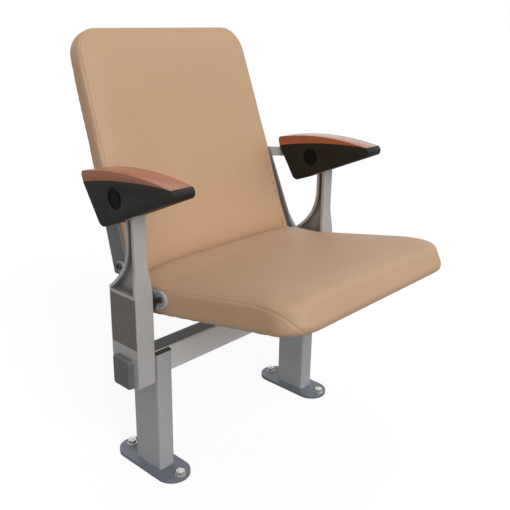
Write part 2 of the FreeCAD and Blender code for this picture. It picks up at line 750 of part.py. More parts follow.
def standard():
    """The casting: box foot, flared column with its web set back, head and lug."""
    casting = new_body()
    half_box, half_column = box_width / 2, column_width / 2
    centre_y = sweep_radius - column_rear
    meet_z = sweep_height - root(sweep_radius * sweep_radius - (centre_y - box_rear) * (centre_y - box_rear))
    pad(casting, "YZ", -half_box, half_box, [
        (-box_front, box_base, box_toe), (box_rear, box_base),
        (box_rear, meet_z), ("arc", sweep_radius, -1), (-column_rear, sweep_height),
        (-column_rear, column_top), (-column_front, column_top),
        (-column_front, box_top + front_step_height), (-box_front, box_top)])
    step = half_box - half_column
    flare_radius = (flare_height * flare_height + step * step) / (2 * step)
    beyond = half_box + overcut
    above = column_top + overcut
    pocket(casting, "XZ", -box_front - overcut, box_rear + overcut,
           [(half_box, box_top), ("arc", flare_radius, 1), (half_column, box_top + flare_height),
            (half_column, above), (beyond, above), (beyond, box_top)],
           [(-half_box, box_top), (-beyond, box_top), (-beyond, above), (-half_column, above),
            (-half_column, box_top + flare_height), ("arc", flare_radius, 1)])
    front_x = -float(box_front) - 0.5

    def front_corner(edge):
        size_of_edge = edge.BoundBox
        is_front = size_of_edge.YMax < -float(column_front) + 0.01 and size_of_edge.YMin > front_x
        return is_front and size_of_edge.ZLength > 15 and size_of_edge.ZMin > float(box_base) + 1

    round_edges(casting, casting_round, front_corner)

    inner = sweep_radius + rear_flange
    floor = box_top + web_base_rise
    floor_rear = sweep_point(inner, centre_y, sweep_height - floor)
    web_front_foot = front_flange - box_front
    web_front = front_flange - column_front
    web_rear = -column_rear - rear_flange
    half_slot = (web_rear - web_front) / 2
    recess = [(web_front_foot, floor), (floor_rear, floor), ("arc", inner, -1), (web_rear, sweep_height),
              (web_rear, web_top - half_slot), ("arc", half_slot, 1), (web_front + half_slot, web_top),
              ("arc", half_slot, 1), (web_front, web_top - half_slot),
              (web_front, box_top + front_step_height)]
    half_web = web_thickness / 2
    pocket(casting, "YZ", half_web, beyond, recess)
    pocket(casting, "YZ", -beyond, -half_web, recess)

    pad(casting, "YZ", -head_thickness / 2, head_thickness / 2, [
        (-column_front, column_top), (-column_rear, column_top), (head_rear, column_top + head_shoulder_rise, head_shoulder_round),
        (head_rear, head_top, head_top_round), (-column_front, head_top, head_top_round)])
    pocket(casting, "YZ", -half_box, half_box, ["circle", (arm_bolt_y, arm_bolt_z), arm_bolt_diameter / 2 + snug_gap])

    cover_rear = box_rear - cover_border
    pocket(casting, "YZ", half_box - cover_thickness, beyond, rectangle(
        (cover_border - box_front + casting_round, cover_base), (cover_rear, box_top - cover_top_border)))
    pocket(casting, "YZ", pocket_wall - half_box, beyond, rectangle(
        (-pocket_front, pocket_base), (pocket_rear, pocket_ceiling), pocket_corner))
    pocket(casting, "YZ", -beyond, beyond, rectangle(
        (beam_front - slide_gap, beam_base - slide_gap), (beam_rear + slide_gap, beam_top + slide_gap)))
    pocket(casting, "YZ", -beyond, pocket_wall - half_box, ["circle", (pivot_y, pivot_z), bush_diameter / 2 + snug_gap])
    screw_z_low = beam_base + beam_height / 2 - clamp_screw_spacing / 2
    pocket(casting, "XZ", beam_rear, box_rear,
           ["circle", (formula(0), screw_z_low), clamp_screw_diameter / 2 + snug_gap],
           ["circle", (formula(0), screw_z_low + clamp_screw_spacing), clamp_screw_diameter / 2 + snug_gap])

    lug_from = lug_inside - standard_x
    root_to = pocket_wall - half_box
    neck_y, neck_z = box_rear - lug_neck / 2, box_top - lug_neck / 2
    pad(casting, "YZ", lug_from, root_to, [
        (lug_root_front, lug_root_base), (box_rear, lug_root_base), (box_rear, meet_z), (lug_root_front, box_top)])
    # Unit vector from the neck to the bolt, and the square to it
    run, rise = lug_bolt_y - neck_y, lug_bolt_z - neck_z
    length = root(run * run + rise * rise)
    along_y, along_z = run / length * lug_radius, rise / length * lug_radius
    half_neck = lug_neck / 2 / lug_radius
    pad(casting, "YZ", lug_from, lug_from + lug_thickness, [
        (neck_y + along_z * half_neck, neck_z - along_y * half_neck),
        (lug_bolt_y + along_z, lug_bolt_z - along_y), ("arc", lug_radius, 1),
        (lug_bolt_y + along_y, lug_bolt_z + along_z), ("arc", lug_radius, 1),
        (lug_bolt_y - along_z, lug_bolt_z + along_y),
        (neck_y - along_z * half_neck, neck_z + along_y * half_neck)])
    pocket(casting, "YZ", lug_from, lug_from + lug_thickness, [
        "circle", (lug_bolt_y, lug_bolt_z), bar_bolt_diameter / 2 + snug_gap])
    return place(casting, standard_x)


def side_cover():
    """The flush lid over the mechanism, with a lip that fits inside the pocket."""
    lid = new_body()
    low_y = cover_border - box_front + casting_round + slide_gap
    high_y = box_rear - cover_border - slide_gap
    inner_face = box_outside - cover_thickness
    pad(lid, "YZ", inner_face, box_outside, rectangle(
        (low_y, cover_base + slide_gap), (high_y, box_top - cover_top_border - slide_gap), cover_corner))
    gap = slide_gap
    outer = rectangle((gap - pocket_front, pocket_base + gap), (pocket_rear - gap, pocket_ceiling - gap), pocket_corner)
    inset = gap + cover_lip
    inner = rectangle((inset - pocket_front, pocket_base + inset), (pocket_rear - inset, pocket_ceiling - inset),
                      pocket_corner - cover_lip)
    pad(lid, "YZ", inner_face - cover_lip_depth, inner_face, outer, inner)
    return lid


def clamp_screws():
    """Set screws that press the casting's back wall away from the beam."""
    screws = []
    low = beam_base + beam_height / 2 - clamp_screw_spacing / 2
    for x in (-standard_x, standard_x):
        for z in (low, low + clamp_screw_spacing):
            shank = rod("Y", (x, z), clamp_screw_diameter / 2, (beam_rear, box_rear))
            socket = rod("Y", (x, z), hex_key / 2, (box_rear - set_screw_key_depth, box_rear))
            screws.append(cut(shank, socket))
    return group(*screws)


pair("standard", standard())
pair("side_cover", side_cover())
name("clamp_screws", clamp_screws())


# Seat hinge: bush, plate, axle, stop lever, buffers, spring and circlip
pivot = (pivot_y, pivot_z)


def pivot_bush():
    """A flanged bush: its flange keeps the seat's plate off the casting."""
    flange = rod("X", pivot, bush_flange_diameter / 2, (hinge_plate_outside + seat_gap, box_inside - seat_gap))
    sleeve = rod("X", pivot, bush_diameter / 2, (hinge_plate_outside + seat_gap, box_inside + pocket_wall))
    bore = rod("X", pivot, axle_diameter / 2 + running_gap, (hinge_plate_outside, box_inside + pocket_wall + overcut))
    return cut(fuse(flange, sleeve), bore)


def hinge_plate():
    """A plate with two round lobes: the axle in one, a dish round the screw in the other."""
    plate = new_body()
    ahead, above = -hinge_screw_ahead, hinge_screw_above
    small, large = hinge_front_radius, hinge_rear_radius
    length = root(ahead * ahead + above * above)
    # Unit vector from the axle to the screw, and the square to it
    along_y, along_z = ahead / length, above / length
    square_y, square_z = -along_z, along_y
    pad(plate, "YZ", hinge_plate_inside, hinge_plate_outside, [
        (square_y * large, square_z * large), (ahead + square_y * small, above + square_z * small),
        ("arc", small, -1), (ahead + along_y * small, above + along_z * small), ("arc", small, -1),
        (ahead - square_y * small, above - square_z * small),
        (-square_y * large, -square_z * large), ("arc", large, -1),
        (-along_y * large, -along_z * large), ("arc", large, -1)])
    pocket(plate, "YZ", hinge_plate_outside - hinge_dish_depth, hinge_plate_outside,
           ["circle", (ahead, above), hinge_dish_radius])
    pocket(plate, "YZ", hinge_plate_inside, hinge_plate_outside,
           ["circle", (formula(0), formula(0)), axle_diameter / 2 + snug_gap],
           ["circle", (ahead, above), hinge_screw_diameter / 2 + snug_gap])
    return place(plate, 0, pivot_y, pivot_z)


rail_outside = seat_half_width - rail_padding
rail_inside = rail_outside - rail_width


def pivot_axle():
    return rod("X", pivot, axle_diameter / 2, (rail_outside - rail_width / 2, axle_end))


def hinge_screws():
    screws = []
    seat_of_head = hinge_plate_outside - hinge_dish_depth
    centre = (screw_y, screw_z)
    for side in (1, -1):
        shank = rod("X", centre, hinge_screw_diameter / 2, (rail_outside - rail_width / 2, seat_of_head))
        head = rod("X", centre, hinge_screw_head / 2, (seat_of_head, seat_of_head + hinge_screw_head_height))
        socket = hexagon("X", centre, hex_key,
                         (seat_of_head + hinge_screw_head_height - key_depth, seat_of_head + hinge_screw_head_height))
        screw = cut(fuse(shank, head), socket)
        screws.append(screw if side == 1 else mirrored(screw))
    return group(*screws)


def stop_lever():
    """The arm on the axle that meets a rubber buffer at each end of the travel."""
    ends = (lever_inside, lever_inside + lever_thickness)
    hub = rod("X", pivot, lever_hub_radius, ends)
    arm = box(ends, (0, lever_length), (-lever_half_width, lever_half_width))
    turn(arm, (1, 0, 0), -lever_droop_angle)
    place(arm, lever_inside,
          pivot_y - lever_half_width * sine(lever_droop_angle), pivot_z - lever_half_width * cosine(lever_droop_angle))
    tip_y = pivot_y + lever_length * cosine(lever_droop_angle)
    tip_z = pivot_z - lever_length * sine(lever_droop_angle)
    tip = rod("X", (tip_y, tip_z), lever_half_width, ends)
    bore = rod("X", pivot, axle_diameter / 2 + snug_gap, ends)
    return cut(fuse(hub, arm, tip), bore)


def down_buffer():
    """The rubber block under the pocket's ceiling that the lever rests against."""
    front = pivot_y + down_buffer_ahead
    lever_top = (pivot_z - (front - pivot_y) * tangent(lever_droop_angle) + lever_half_width / cosine(lever_droop_angle))
    return box((lever_inside, lever_inside + lever_thickness), (front, front + buffer_width),
               (lever_top + slide_gap, pocket_ceiling - snug_gap))


def up_buffer():
    """The rubber block on the pocket's front wall that stops the raised seat."""
    lever_turn = lever_droop_angle + tip_angle - 90
    lever_front = pivot_y - lever_half_width - lever_length * sine(lever_turn)
    middle = pivot_z - lever_length + lever_half_width
    return box((lever_inside, lever_inside + lever_thickness), (snug_gap - pocket_front, lever_front - slide_gap),
               (middle - up_buffer_height / 2, middle + up_buffer_height / 2))


def torsion_spring():
    """The spring that helps the seat up, as one coiled wire round the axle."""
    radius = spring_bore_radius + spring_wire / 2
    pitch = spring_wire + spring_play
    coil = doc.addObject("Part::Helix", "Coil")
    bind(coil, Pitch=pitch, Height=pitch * spring_turns, Radius=radius)
    wire = doc.addObject("Part::Circle", "WireSection")
    wire.Placement.Rotation = FreeCAD.Rotation(FreeCAD.Vector(1, 0, 0), 90)
    bind(wire, Radius=spring_wire / 2)
    place(wire, radius)
    doc.recompute()
    spring = doc.addObject("Part::Sweep", "Spring")
    spring.Sections = [wire]
    spring.Spine = (coil, [f"Edge{k + 1}" for k in range(len(coil.Shape.Edges))])
    spring.Solid = True
    spring.Frenet = True
    spring.Placement.Rotation = FreeCAD.Rotation(FreeCAD.Vector(0, 1, 0), 90)
    return place(spring, lever_inside + lever_thickness + spring_wire / 2 + seat_gap, *pivot)


def circlip():
    ends = (axle_end - circlip_thickness, axle_end)
    ring = rod("X", pivot, axle_diameter / 2 + circlip_width, ends)
    return cut(ring, rod("X", pivot, axle_diameter / 2 + snug_gap, ends))


pair("pivot_bush", pivot_bush())
pair("hinge_plate", hinge_plate())
pair("pivot_axle", pivot_axle())
name("hinge_screws", hinge_screws())
pair("stop_lever", stop_lever())
pair("down_buffer", down_buffer())
pair("up_buffer", up_buffer())
pair("torsion_spring", torsion_spring())
left_clip = circlip()
name("axle_circlips", group(left_clip, mirrored(left_clip)))


# Soft forms
def level(plane, offset, corners):
    """One closed section of a soft form, on a plane moved along its axis."""
    sketch = doc.addObject("Sketcher::SketchObject", "Level")
    if plane == "XZ":
        sketch.Placement.Rotation = FreeCAD.Rotation(FreeCAD.Vector(1, 0, 0), 90)
        place(sketch, 0, offset, 0)
    else:
        place(sketch, 0, 0, offset)
    outline(sketch, corners)
    return sketch


def soft_form(sections):
    """A solid through its sections, straight from each one to the next."""
    form = doc.addObject("Part::Loft", "SoftForm")
    form.Sections = sections
    form.Solid = True
    form.Ruled = True
    return form


# Steps round the tucked lower edge and over the crown, in degrees
TUCK_STEPS = [formula(step) for step in (0, 30, 60, 90)]
CROWN_STEPS = [formula(step) for step in (0, 15, 25, 35, 45, 55, 65, 75, 90)]


# Seat, in its own frame: pivot at the origin, front towards -Y, tilted when placed
def in_seat(thing):
    turn(thing, (1, 0, 0), -seat_tilt_angle)
    return place(thing, 0, pivot_y, pivot_z)


board_low = seat_panel_thickness - seat_below
board_high = board_low + seat_board_thickness
board_half = seat_half_width - seat_board_margin
board_front = seat_board_front_margin - seat_ahead
board_rear = seat_behind - seat_board_margin
rail_high = board_high + rail_height
screw_u = -(hinge_screw_ahead * cosine(seat_tilt_angle) + hinge_screw_above * sine(seat_tilt_angle))
screw_w = hinge_screw_above * cosine(seat_tilt_angle) - hinge_screw_ahead * sine(seat_tilt_angle)
seat_screw_rows = (rail_behind - panel_screw_inset, panel_screw_inset - rail_ahead)
seat_screw_x = rail_inside + rail_width / 2


def seat_section(height, side, front, rear):
    """The seat's plan at one height, drawn in at its sides, front and rear."""
    half, nose, heel = seat_half_width - side, front - seat_ahead, seat_behind - rear
    return level("XY", height, [
        (-half, nose, seat_front_corner), (half, nose, seat_front_corner),
        (half, heel, seat_rear_corner), (-half, heel, seat_rear_corner)])


def seat_cushion():
    """The seat pad: tucked lower edge, rounded front, crowned top, hollow below."""
    sections = []
    for step in TUCK_STEPS:
        left = 1 - sine(step)
        sections.append(seat_section(seat_tuck_height * (1 - cosine(step)) - seat_below,
                                     seat_tuck * left, seat_front_tuck * left, seat_tuck * left))
    for step in CROWN_STEPS:
        drawn = 1 - cosine(step)
        sections.append(seat_section(seat_seam_height + seat_crown * sine(step), seat_side_roll * drawn,
                                     seat_front_slope + seat_front_roll * drawn, seat_rear_roll * drawn))
    gap = seat_gap
    tools = [box((-board_half - gap, board_half + gap), (board_front - gap, board_rear + gap),
                 (-seat_below - gap, board_high + gap))]
    for low, high in ((rail_inside, rail_outside), (-rail_outside, -rail_inside)):
        tools.append(box((low - gap, high + gap), (-rail_ahead - gap, rail_behind + gap), (board_high, rail_high + gap)))
    for low, high in ((rail_inside, hinge_plate_inside), (-hinge_plate_inside, -rail_inside)):
        tools.append(rod("X", (formula(0), formula(0)), axle_diameter / 2 + gap, (low, high)))
        tools.append(rod("X", (screw_u, screw_w), hinge_screw_diameter / 2 + gap, (low, high)))
    return in_seat(cut(soft_form(sections), *tools))


def seat_screw_holes(low, high):
    """The four screw holes of the board and panel, between two heights."""
    spots = [(x, y) for x in (-seat_screw_x, seat_screw_x) for y in seat_screw_rows]
    return [rod("Z", spot, panel_screw_diameter / 2 + snug_gap, (low, high)) for spot in spots]


def seat_board():
    """The plywood board that carries the pad."""
    board = new_body()
    pad(board, "XY", board_low, board_high, rectangle(
        (-board_half, board_front), (board_half, board_rear), seat_board_corner))
    return in_seat(cut(board, *seat_screw_holes(board_low, board_high)))


def seat_panel():
    """The moulded panel under the board, with a raised border."""
    panel = new_body()
    border = seat_panel_border
    pad(panel, "XY", -seat_below, board_low, rectangle(
        (-board_half, board_front), (board_half, board_rear), seat_board_corner))
    pocket(panel, "XY", -seat_below, seat_panel_recess - seat_below, rectangle(
        (border - board_half, board_front + border), (board_half - border, board_rear - border),
        seat_board_corner - border / 2))
    return in_seat(cut(panel, *seat_screw_holes(-seat_below, board_low)))


def seat_rail():
    """A hardwood rail on the board that takes one hinge screw and one axle."""
    rail = new_body()
    low, high = rail_inside, rail_outside
    pad(rail, "YZ", low, high, [
        (-rail_ahead, board_high), (rail_behind, board_high), (rail_behind, rail_high),
        (-rail_ahead, rail_high, rail_height / 2)])
    pocket(rail, "YZ", low + rail_width / 2, high,
           ["circle", (formula(0), formula(0)), axle_diameter / 2 + snug_gap],
           ["circle", (screw_u, screw_w), hinge_screw_diameter / 2 + snug_gap])
    pocket(rail, "XY", board_high, board_high + panel_screw_grip,
           *[["circle", (seat_screw_x, y), panel_screw_diameter / 2 + snug_gap] for y in seat_screw_rows])
    return in_seat(rail)


def seat_panel_screws():
    """Screws from below through panel and board into the rails."""
    screws = []
    under_head = -seat_below
    for x in (-seat_screw_x, seat_screw_x):
        for y in seat_screw_rows:
            head = rod("Z", (x, y), panel_screw_head / 2, (under_head - panel_screw_head_height, under_head))
            shank = rod("Z", (x, y), panel_screw_diameter / 2, (under_head, board_high + panel_screw_grip))
            screws.append(fuse(head, shank))
    return in_seat(group(*screws))


left_rail = seat_rail()
name("seat_cushion", seat_cushion())
name("seat_board", seat_board())
name("seat_underside_panel", seat_panel())
name("seat_rails", group(left_rail, mirrored(left_rail)))
name("seat_panel_screws", seat_panel_screws())


# Backrest, in its own frame: Y runs through the pad from its front, Z up along it
def in_back(thing):
    turn(thing, (1, 0, 0), -back_lean_angle)
    return place(thing, 0, back_foot_y, back_foot_z)


def seen_from_back(y, z):
    """A place of the seat's frame in the backrest's own frame."""
    behind, above = y - back_foot_y, z - back_foot_z
    return (behind * cosine(back_lean_angle) - above * sine(back_lean_angle),
            behind * sine(back_lean_angle) + above * cosine(back_lean_angle))


def back_half_at(height):
    """Half the pad's width at a height along it."""
    return back_half_width - height * tangent(back_taper_angle)


def back_corners(inset):
    """The pad's outline, drawn in by an inset."""
    low, high = inset, back_height - inset
    half_low, half_high = back_half_at(low) - inset, back_half_at(high) - inset
    return [(-half_low, low, back_foot_corner), (half_low, low, back_foot_corner),
            (half_high, high, back_top_corner), (-half_high, high, back_top_corner)]


back_board_rear = back_thickness - back_panel_thickness
back_board_front = back_board_rear - back_board_thickness
back_rail_front = back_board_front - back_rail_depth
strap_bolt_y = strap_knee_y + strap_foot / 2
bolt_reach_in = back_half_width - back_rail_width - back_board_margin
back_bolts = ((lug_bolt_y, lug_bolt_z), (strap_bolt_y, arm_bolt_z))
back_screw_spots = [(side * (back_half_width - back_screw_inset), height) for side in (-1, 0, 1)
                    for height in (back_screw_foot, back_height - back_screw_head)]


def back_rail(grow):
    """A hardwood rail at the pad's left side, grown by a clearance for its hollow."""
    rail = new_body()
    low, high = back_rail_foot - grow, back_rail_foot + back_rail_height + grow
    outer_low, outer_high = back_half_at(low) - back_board_margin, back_half_at(high) - back_board_margin
    width = back_rail_width
    pad(rail, "XZ", back_rail_front - grow, back_board_front, [
        (outer_low - width - grow, low), (outer_low + grow, low), (outer_high + grow, high),
        (outer_high - width - grow, high)])
    return rail


def back_bolt_bores(radius):
    """The bores of the left side's two bar bolts."""
    ends = (bolt_reach_in, back_half_width + bar_thickness)
    return [rod("X", seen_from_back(*spot), radius, ends) for spot in back_bolts]


def back_cushion():
    """The backrest pad: tucked rear edge, crowned front, hollow at the back."""
    sections = []
    for step in TUCK_STEPS:
        sections.append(level("XZ", back_thickness - back_tuck_depth * (1 - cosine(step)),
                              back_corners(back_tuck * (1 - sine(step)))))
    for step in CROWN_STEPS:
        sections.append(level("XZ", back_side_depth - back_crown * sine(step),
                              back_corners(back_roll * (1 - cosine(step)))))
    hollow = new_body()
    gap = seat_gap
    pad(hollow, "XZ", back_board_front - gap, back_thickness + gap, back_corners(back_board_margin - gap))
    sides = [back_rail(gap)] + back_bolt_bores(bar_bolt_diameter / 2 + gap)
    tools = [hollow] + sides + [mirrored(side) for side in sides]
    return in_back(cut(soft_form(sections), *tools))


def back_slab(front, rear, screw_bore):
    """A flat board inside the pad's outline, bored for the panel's screws."""
    board = new_body()
    pad(board, "XZ", front, rear, back_corners(back_board_margin))
    pocket(board, "XZ", front, rear, *[["circle", spot, screw_bore] for spot in back_screw_spots])
    return in_back(board)


def back_panel_screws():
    """Screws through the rear panel into the board."""
    screws = []
    for spot in back_screw_spots:
        head = rod("Y", spot, panel_screw_head / 2, (back_thickness, back_thickness + panel_screw_head_height))
        shank = rod("Y", spot, panel_screw_diameter / 2, (back_board_front, back_thickness))
        screws.append(fuse(head, shank))
    return in_back(group(*screws))


def back_bar():
    """The tapered steel bar along the pad's side, tilted with it."""
    bar = new_body()
    front_top = bar_front_y + bar_height * tangent(bar_lean_angle)
    zero = formula(0)
    pad(bar, "YZ", zero, bar_thickness, [
        (bar_front_y, zero, bar_foot_round), (bar_front_y + bar_foot_width, zero, bar_foot_round),
        (front_top + bar_top_width, bar_height, bar_top_round), (front_top, bar_height, bar_top_round)])
    pocket(bar, "YZ", zero, bar_thickness, *[
        ["circle", (y, z - back_foot_z), bar_bolt_diameter / 2 + seat_gap] for y, z in back_bolts])
    turn(bar, (0, 1, 0), -back_taper_angle)
    return place(bar, back_half_width + seat_gap, 0, back_foot_z)


def bar_bolt(y, z, under_head, side):
    inner = bolt_reach_in
    shank = rod("X", (y, z), bar_bolt_diameter / 2, (inner, under_head))
    head = rod("X", (y, z), bar_bolt_head / 2, (under_head, under_head + bar_bolt_head_height))
    top = under_head + bar_bolt_head_height
    socket = hexagon("X", (y, z), hex_key, (top - key_depth, top))
    bolt = cut(fuse(shank, head), socket)
    return bolt if side == 1 else mirrored(bolt)


strap_inside = lug_inside - (arm_bolt_z - strap_height / 2 - back_foot_z) * tangent(back_taper_angle)
strap_arm_side = head_inside - strap_thickness
strap_mitre = strap_thickness / 2 * tangent(strap_bend_angle / 2)
strap_second_knee = strap_knee_y - (strap_arm_side - strap_inside) / tangent(strap_bend_angle)


def arm_strap():
    """The flat steel strap from the back bar's top into the armrest, bent twice."""
    foot_in, foot_out = strap_inside, strap_inside + strap_thickness
    arm_in, arm_out = strap_arm_side, head_inside
    knee, knee_two, mitre = strap_knee_y, strap_second_knee, strap_mitre
    strap = new_body()
    half = strap_height / 2
    pad(strap, "XY", arm_bolt_z - half, arm_bolt_z + half, [
        (foot_out, knee + strap_foot), (foot_in, knee + strap_foot), (foot_in, knee - mitre),
        (arm_in, knee_two - mitre), (arm_in, -strap_front), (arm_out, -strap_front),
        (arm_out, knee_two + mitre), (foot_out, knee + mitre)])
    pocket(strap, "YZ", foot_in, arm_out,
           ["circle", (arm_bolt_y, arm_bolt_z), arm_bolt_diameter / 2 + snug_gap],
           ["circle", (strap_bolt_y, arm_bolt_z), bar_bolt_diameter / 2 + snug_gap])
    return strap


left_back_rail = in_back(cut(back_rail(formula(0)), *back_bolt_bores(bar_bolt_diameter / 2 + snug_gap)))
name("backrest_cushion", back_cushion())
name("backrest_board", back_slab(back_board_front, back_board_rear, panel_screw_diameter / 2 + snug_gap))
name("backrest_panel", back_slab(back_board_rear, back_thickness, panel_screw_diameter / 2 + snug_gap))
name("backrest_rails", group(left_back_rail, mirrored(left_back_rail)))
name("backrest_panel_screws", back_panel_screws())
pair("back_bar", back_bar())
pair("arm_strap", arm_strap())
name("lug_bolts", group(*[bar_bolt(lug_bolt_y, lug_bolt_z, lug_inside + lug_thickness, side) for side in (1, -1)]))
name("strap_bolts", group(*[
    bar_bolt(strap_bolt_y, arm_bolt_z, strap_inside + strap_thickness, side) for side in (1, -1)]))


# Armrests
def armrest_body():
    """The moulded arm: a wedge with a slot for the casting's head and the strap."""
    arm = new_body()
    pad(arm, "YZ", arm_inside, arm_outside, [
        (arm_nose_y, arm_nose_top - arm_nose_height), (arm_heel_y, arm_heel_z, arm_heel_round),
        (arm_rear_y, arm_rear_z), ("bulge", arm_seam_bulge, 1), (arm_nose_y, arm_nose_top),
        ("bulge", arm_nose_bulge, 1)])
    gap = slide_gap
    pocket(arm, "XY", arm_heel_z - overcut, column_top + gap, rectangle(
        (standard_x - column_width / 2 - gap, -column_front - gap),
        (standard_x + column_width / 2 + gap, -column_rear + gap)))
    pocket(arm, "XY", arm_heel_z - overcut, head_top + gap, rectangle(
        (head_inside - gap, -column_front - gap), (head_outside + gap, head_rear + gap)))
    half = strap_height / 2
    mouth = arm_rear_y + overcut
    flare_start = strap_second_knee - strap_mitre - gap
    pocket(arm, "XY", arm_bolt_z - half - gap, arm_bolt_z + half + gap, [
        (strap_arm_side - gap, -strap_front - gap), (head_inside + gap, -strap_front - gap),
        (head_inside + gap, mouth),
        (strap_arm_side - gap - (mouth - flare_start) * tangent(strap_bend_angle), mouth),
        (strap_arm_side - gap, flare_start)])
    bolt = (arm_bolt_y, arm_bolt_z)
    deep = plug_recess + arm_bolt_head_height + gap
    pocket(arm, "YZ", arm_inside, arm_inside + plug_recess, ["circle", bolt, plug_radius])
    pocket(arm, "YZ", arm_outside - plug_recess, arm_outside, ["circle", bolt, plug_radius])
    pocket(arm, "YZ", arm_inside, arm_inside + deep, ["circle", bolt, arm_bolt_head_radius + arm_bolt_head_gap])
    pocket(arm, "YZ", arm_outside - deep, arm_outside, ["circle", bolt, arm_bolt_head_radius + arm_bolt_head_gap])
    pocket(arm, "YZ", arm_inside, arm_outside, ["circle", bolt, arm_bolt_diameter / 2 + snug_gap])
    return arm


def armrest_top():
    """The wooden top: two arcs that meet at the nose, its rear end leaning back."""
    top = new_body()
    rear_top = arm_rear_z + wood_rear_height
    turn_y, turn_z = arm_rear_y + wood_rear_overhang, rear_top - wood_rear_round
    pad(top, "YZ", arm_inside, arm_outside, [
        (arm_rear_y, arm_rear_z), (turn_y, turn_z), ("arc", wood_rear_round, 1),
        (turn_y - wood_rear_round, rear_top), ("bulge", wood_top_bulge, 1),
        (arm_nose_y, arm_nose_top), ("bulge", arm_seam_bulge, -1)])
    return top


def arm_plug(outer_face, outward):
    """A round cap in the arm's recess, with a groove round its face."""
    centre = (arm_bolt_y, arm_bolt_z)
    radius = plug_radius - slide_gap
    if outward == 1:
        ends = (outer_face - plug_thickness, outer_face)
        groove = (outer_face - plug_groove, outer_face)
    else:
        ends = (outer_face, outer_face + plug_thickness)
        groove = (outer_face, outer_face + plug_groove)
    ring = cut(rod("X", centre, radius - plug_rim, groove),
               rod("X", centre, radius - plug_rim - plug_groove_width, groove))
    return cut(rod("X", centre, radius, ends), ring)


def arm_plugs():
    sunk = plug_recess - plug_thickness - slide_gap
    outer = arm_plug(arm_outside - sunk, 1)
    inner = arm_plug(arm_inside + sunk, -1)
    return group(outer, inner, mirrored(outer), mirrored(inner))


def arm_bolts():
    """Through bolts of the arms: head inside, nut outside, both behind plugs."""
    centre = (arm_bolt_y, arm_bolt_z)
    low = arm_inside + plug_recess + slide_gap
    high = arm_outside - plug_recess - slide_gap
    shank = rod("X", centre, arm_bolt_diameter / 2, (low, high - arm_bolt_end_gap))
    head = hexagon("X", centre, arm_bolt_flats, (low, low + arm_bolt_head_height))
    bolt = fuse(shank, head)
    return group(bolt, mirrored(bolt))


def arm_nuts():
    centre = (arm_bolt_y, arm_bolt_z)
    high = arm_outside - plug_recess - slide_gap
    ends = (high - arm_bolt_head_height, high)
    nut = cut(hexagon("X", centre, arm_bolt_flats, ends),
              rod("X", centre, arm_bolt_diameter / 2 + snug_gap, ends))
    return group(nut, mirrored(nut))


pair("armrest_body", armrest_body())
pair("armrest_top", armrest_top())
name("arm_plugs", arm_plugs())
name("arm_bolts", arm_bolts())
name("arm_nuts", arm_nuts())


# Check every object, then write one file per node
for _ in range(2):
    doc.recompute()
for thing in doc.Objects:
    if "Invalid" in thing.State or "Error" in thing.State:
        raise RuntimeError(f"{thing.Label} ({thing.Name}) failed: {thing.State}")
os.makedirs("parts", exist_ok=True)
for label, thing in nodes.items():
    shape = thing.Shape
    if shape.isNull() or not shape.isValid() or not shape.Solids:
        raise RuntimeError(f"{label} has no valid shape")
    shape.exportStep(f"parts/{label}.step")
print(f"{len(nodes)} nodes written")
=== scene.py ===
# %% [markdown]
# # A tip up auditorium seat
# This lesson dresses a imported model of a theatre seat: two padded cushions in tan
# leatherette, cast and painted steelwork, black moulded armrests with wooden tops.
# The frame comes first, because every new piece takes its place from it.

# %% Load the frame
import math
import bmesh
import bpy
from mathutils import Matrix, Vector
from mathutils.bvhtree import BVHTree
from mathutils.kdtree import KDTree


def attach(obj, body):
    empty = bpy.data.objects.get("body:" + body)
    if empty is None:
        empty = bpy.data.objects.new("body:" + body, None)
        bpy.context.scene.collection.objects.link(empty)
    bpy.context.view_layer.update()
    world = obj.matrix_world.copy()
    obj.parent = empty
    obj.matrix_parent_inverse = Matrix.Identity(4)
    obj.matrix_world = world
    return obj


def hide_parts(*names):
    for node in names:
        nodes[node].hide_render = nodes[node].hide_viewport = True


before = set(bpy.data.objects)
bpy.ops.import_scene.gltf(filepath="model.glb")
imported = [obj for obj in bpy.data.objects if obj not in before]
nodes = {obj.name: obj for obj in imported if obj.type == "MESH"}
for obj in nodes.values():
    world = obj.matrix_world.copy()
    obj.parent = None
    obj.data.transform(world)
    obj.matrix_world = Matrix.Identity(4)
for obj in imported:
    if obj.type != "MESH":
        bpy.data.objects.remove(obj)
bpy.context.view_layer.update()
MM = 0.001


# %% [markdown]
# ## The camera
# The seat was seen from its right front, a little above the armrests. The place, the
# three angles and the lens were worked out from the straight edges of the steelwork.

# %% Camera
EYE = Vector((-1016.27, -995.77, 905.88)) * MM
YAW, PITCH, ROLL = (math.radians(angle) for angle in (-47.563, 19.205, 0.963))
FOCAL_PIXELS, FRAME_PIXELS, SENSOR = 694.155, 510, 36

ahead = Vector((-math.sin(YAW) * math.cos(PITCH), math.cos(YAW) * math.cos(PITCH), -math.sin(PITCH)))
level_right = Vector((math.cos(YAW), math.sin(YAW), 0))
level_up = level_right.cross(ahead)
right = math.cos(ROLL) * level_right + math.sin(ROLL) * level_up
up = math.cos(ROLL) * level_up - math.sin(ROLL) * level_right

camera_data = bpy.data.cameras.new("camera")
camera_data.sensor_width = SENSOR
camera_data.lens = FOCAL_PIXELS / FRAME_PIXELS * SENSOR
camera = bpy.data.objects.new("camera", camera_data)
camera.matrix_world = Matrix.Translation(EYE) @ Matrix((right, up, -ahead)).transposed().to_4x4()
bpy.context.scene.collection.objects.link(camera)
bpy.context.scene.camera = camera
print("camera: lens", round(camera_data.lens, 2), "mm")


# %% [markdown]
# ## Nodes for materials
# Every finish is a small network of nodes. One helper adds a node, and one turns the
# hex value of a colour into the linear numbers that the renderer works in.

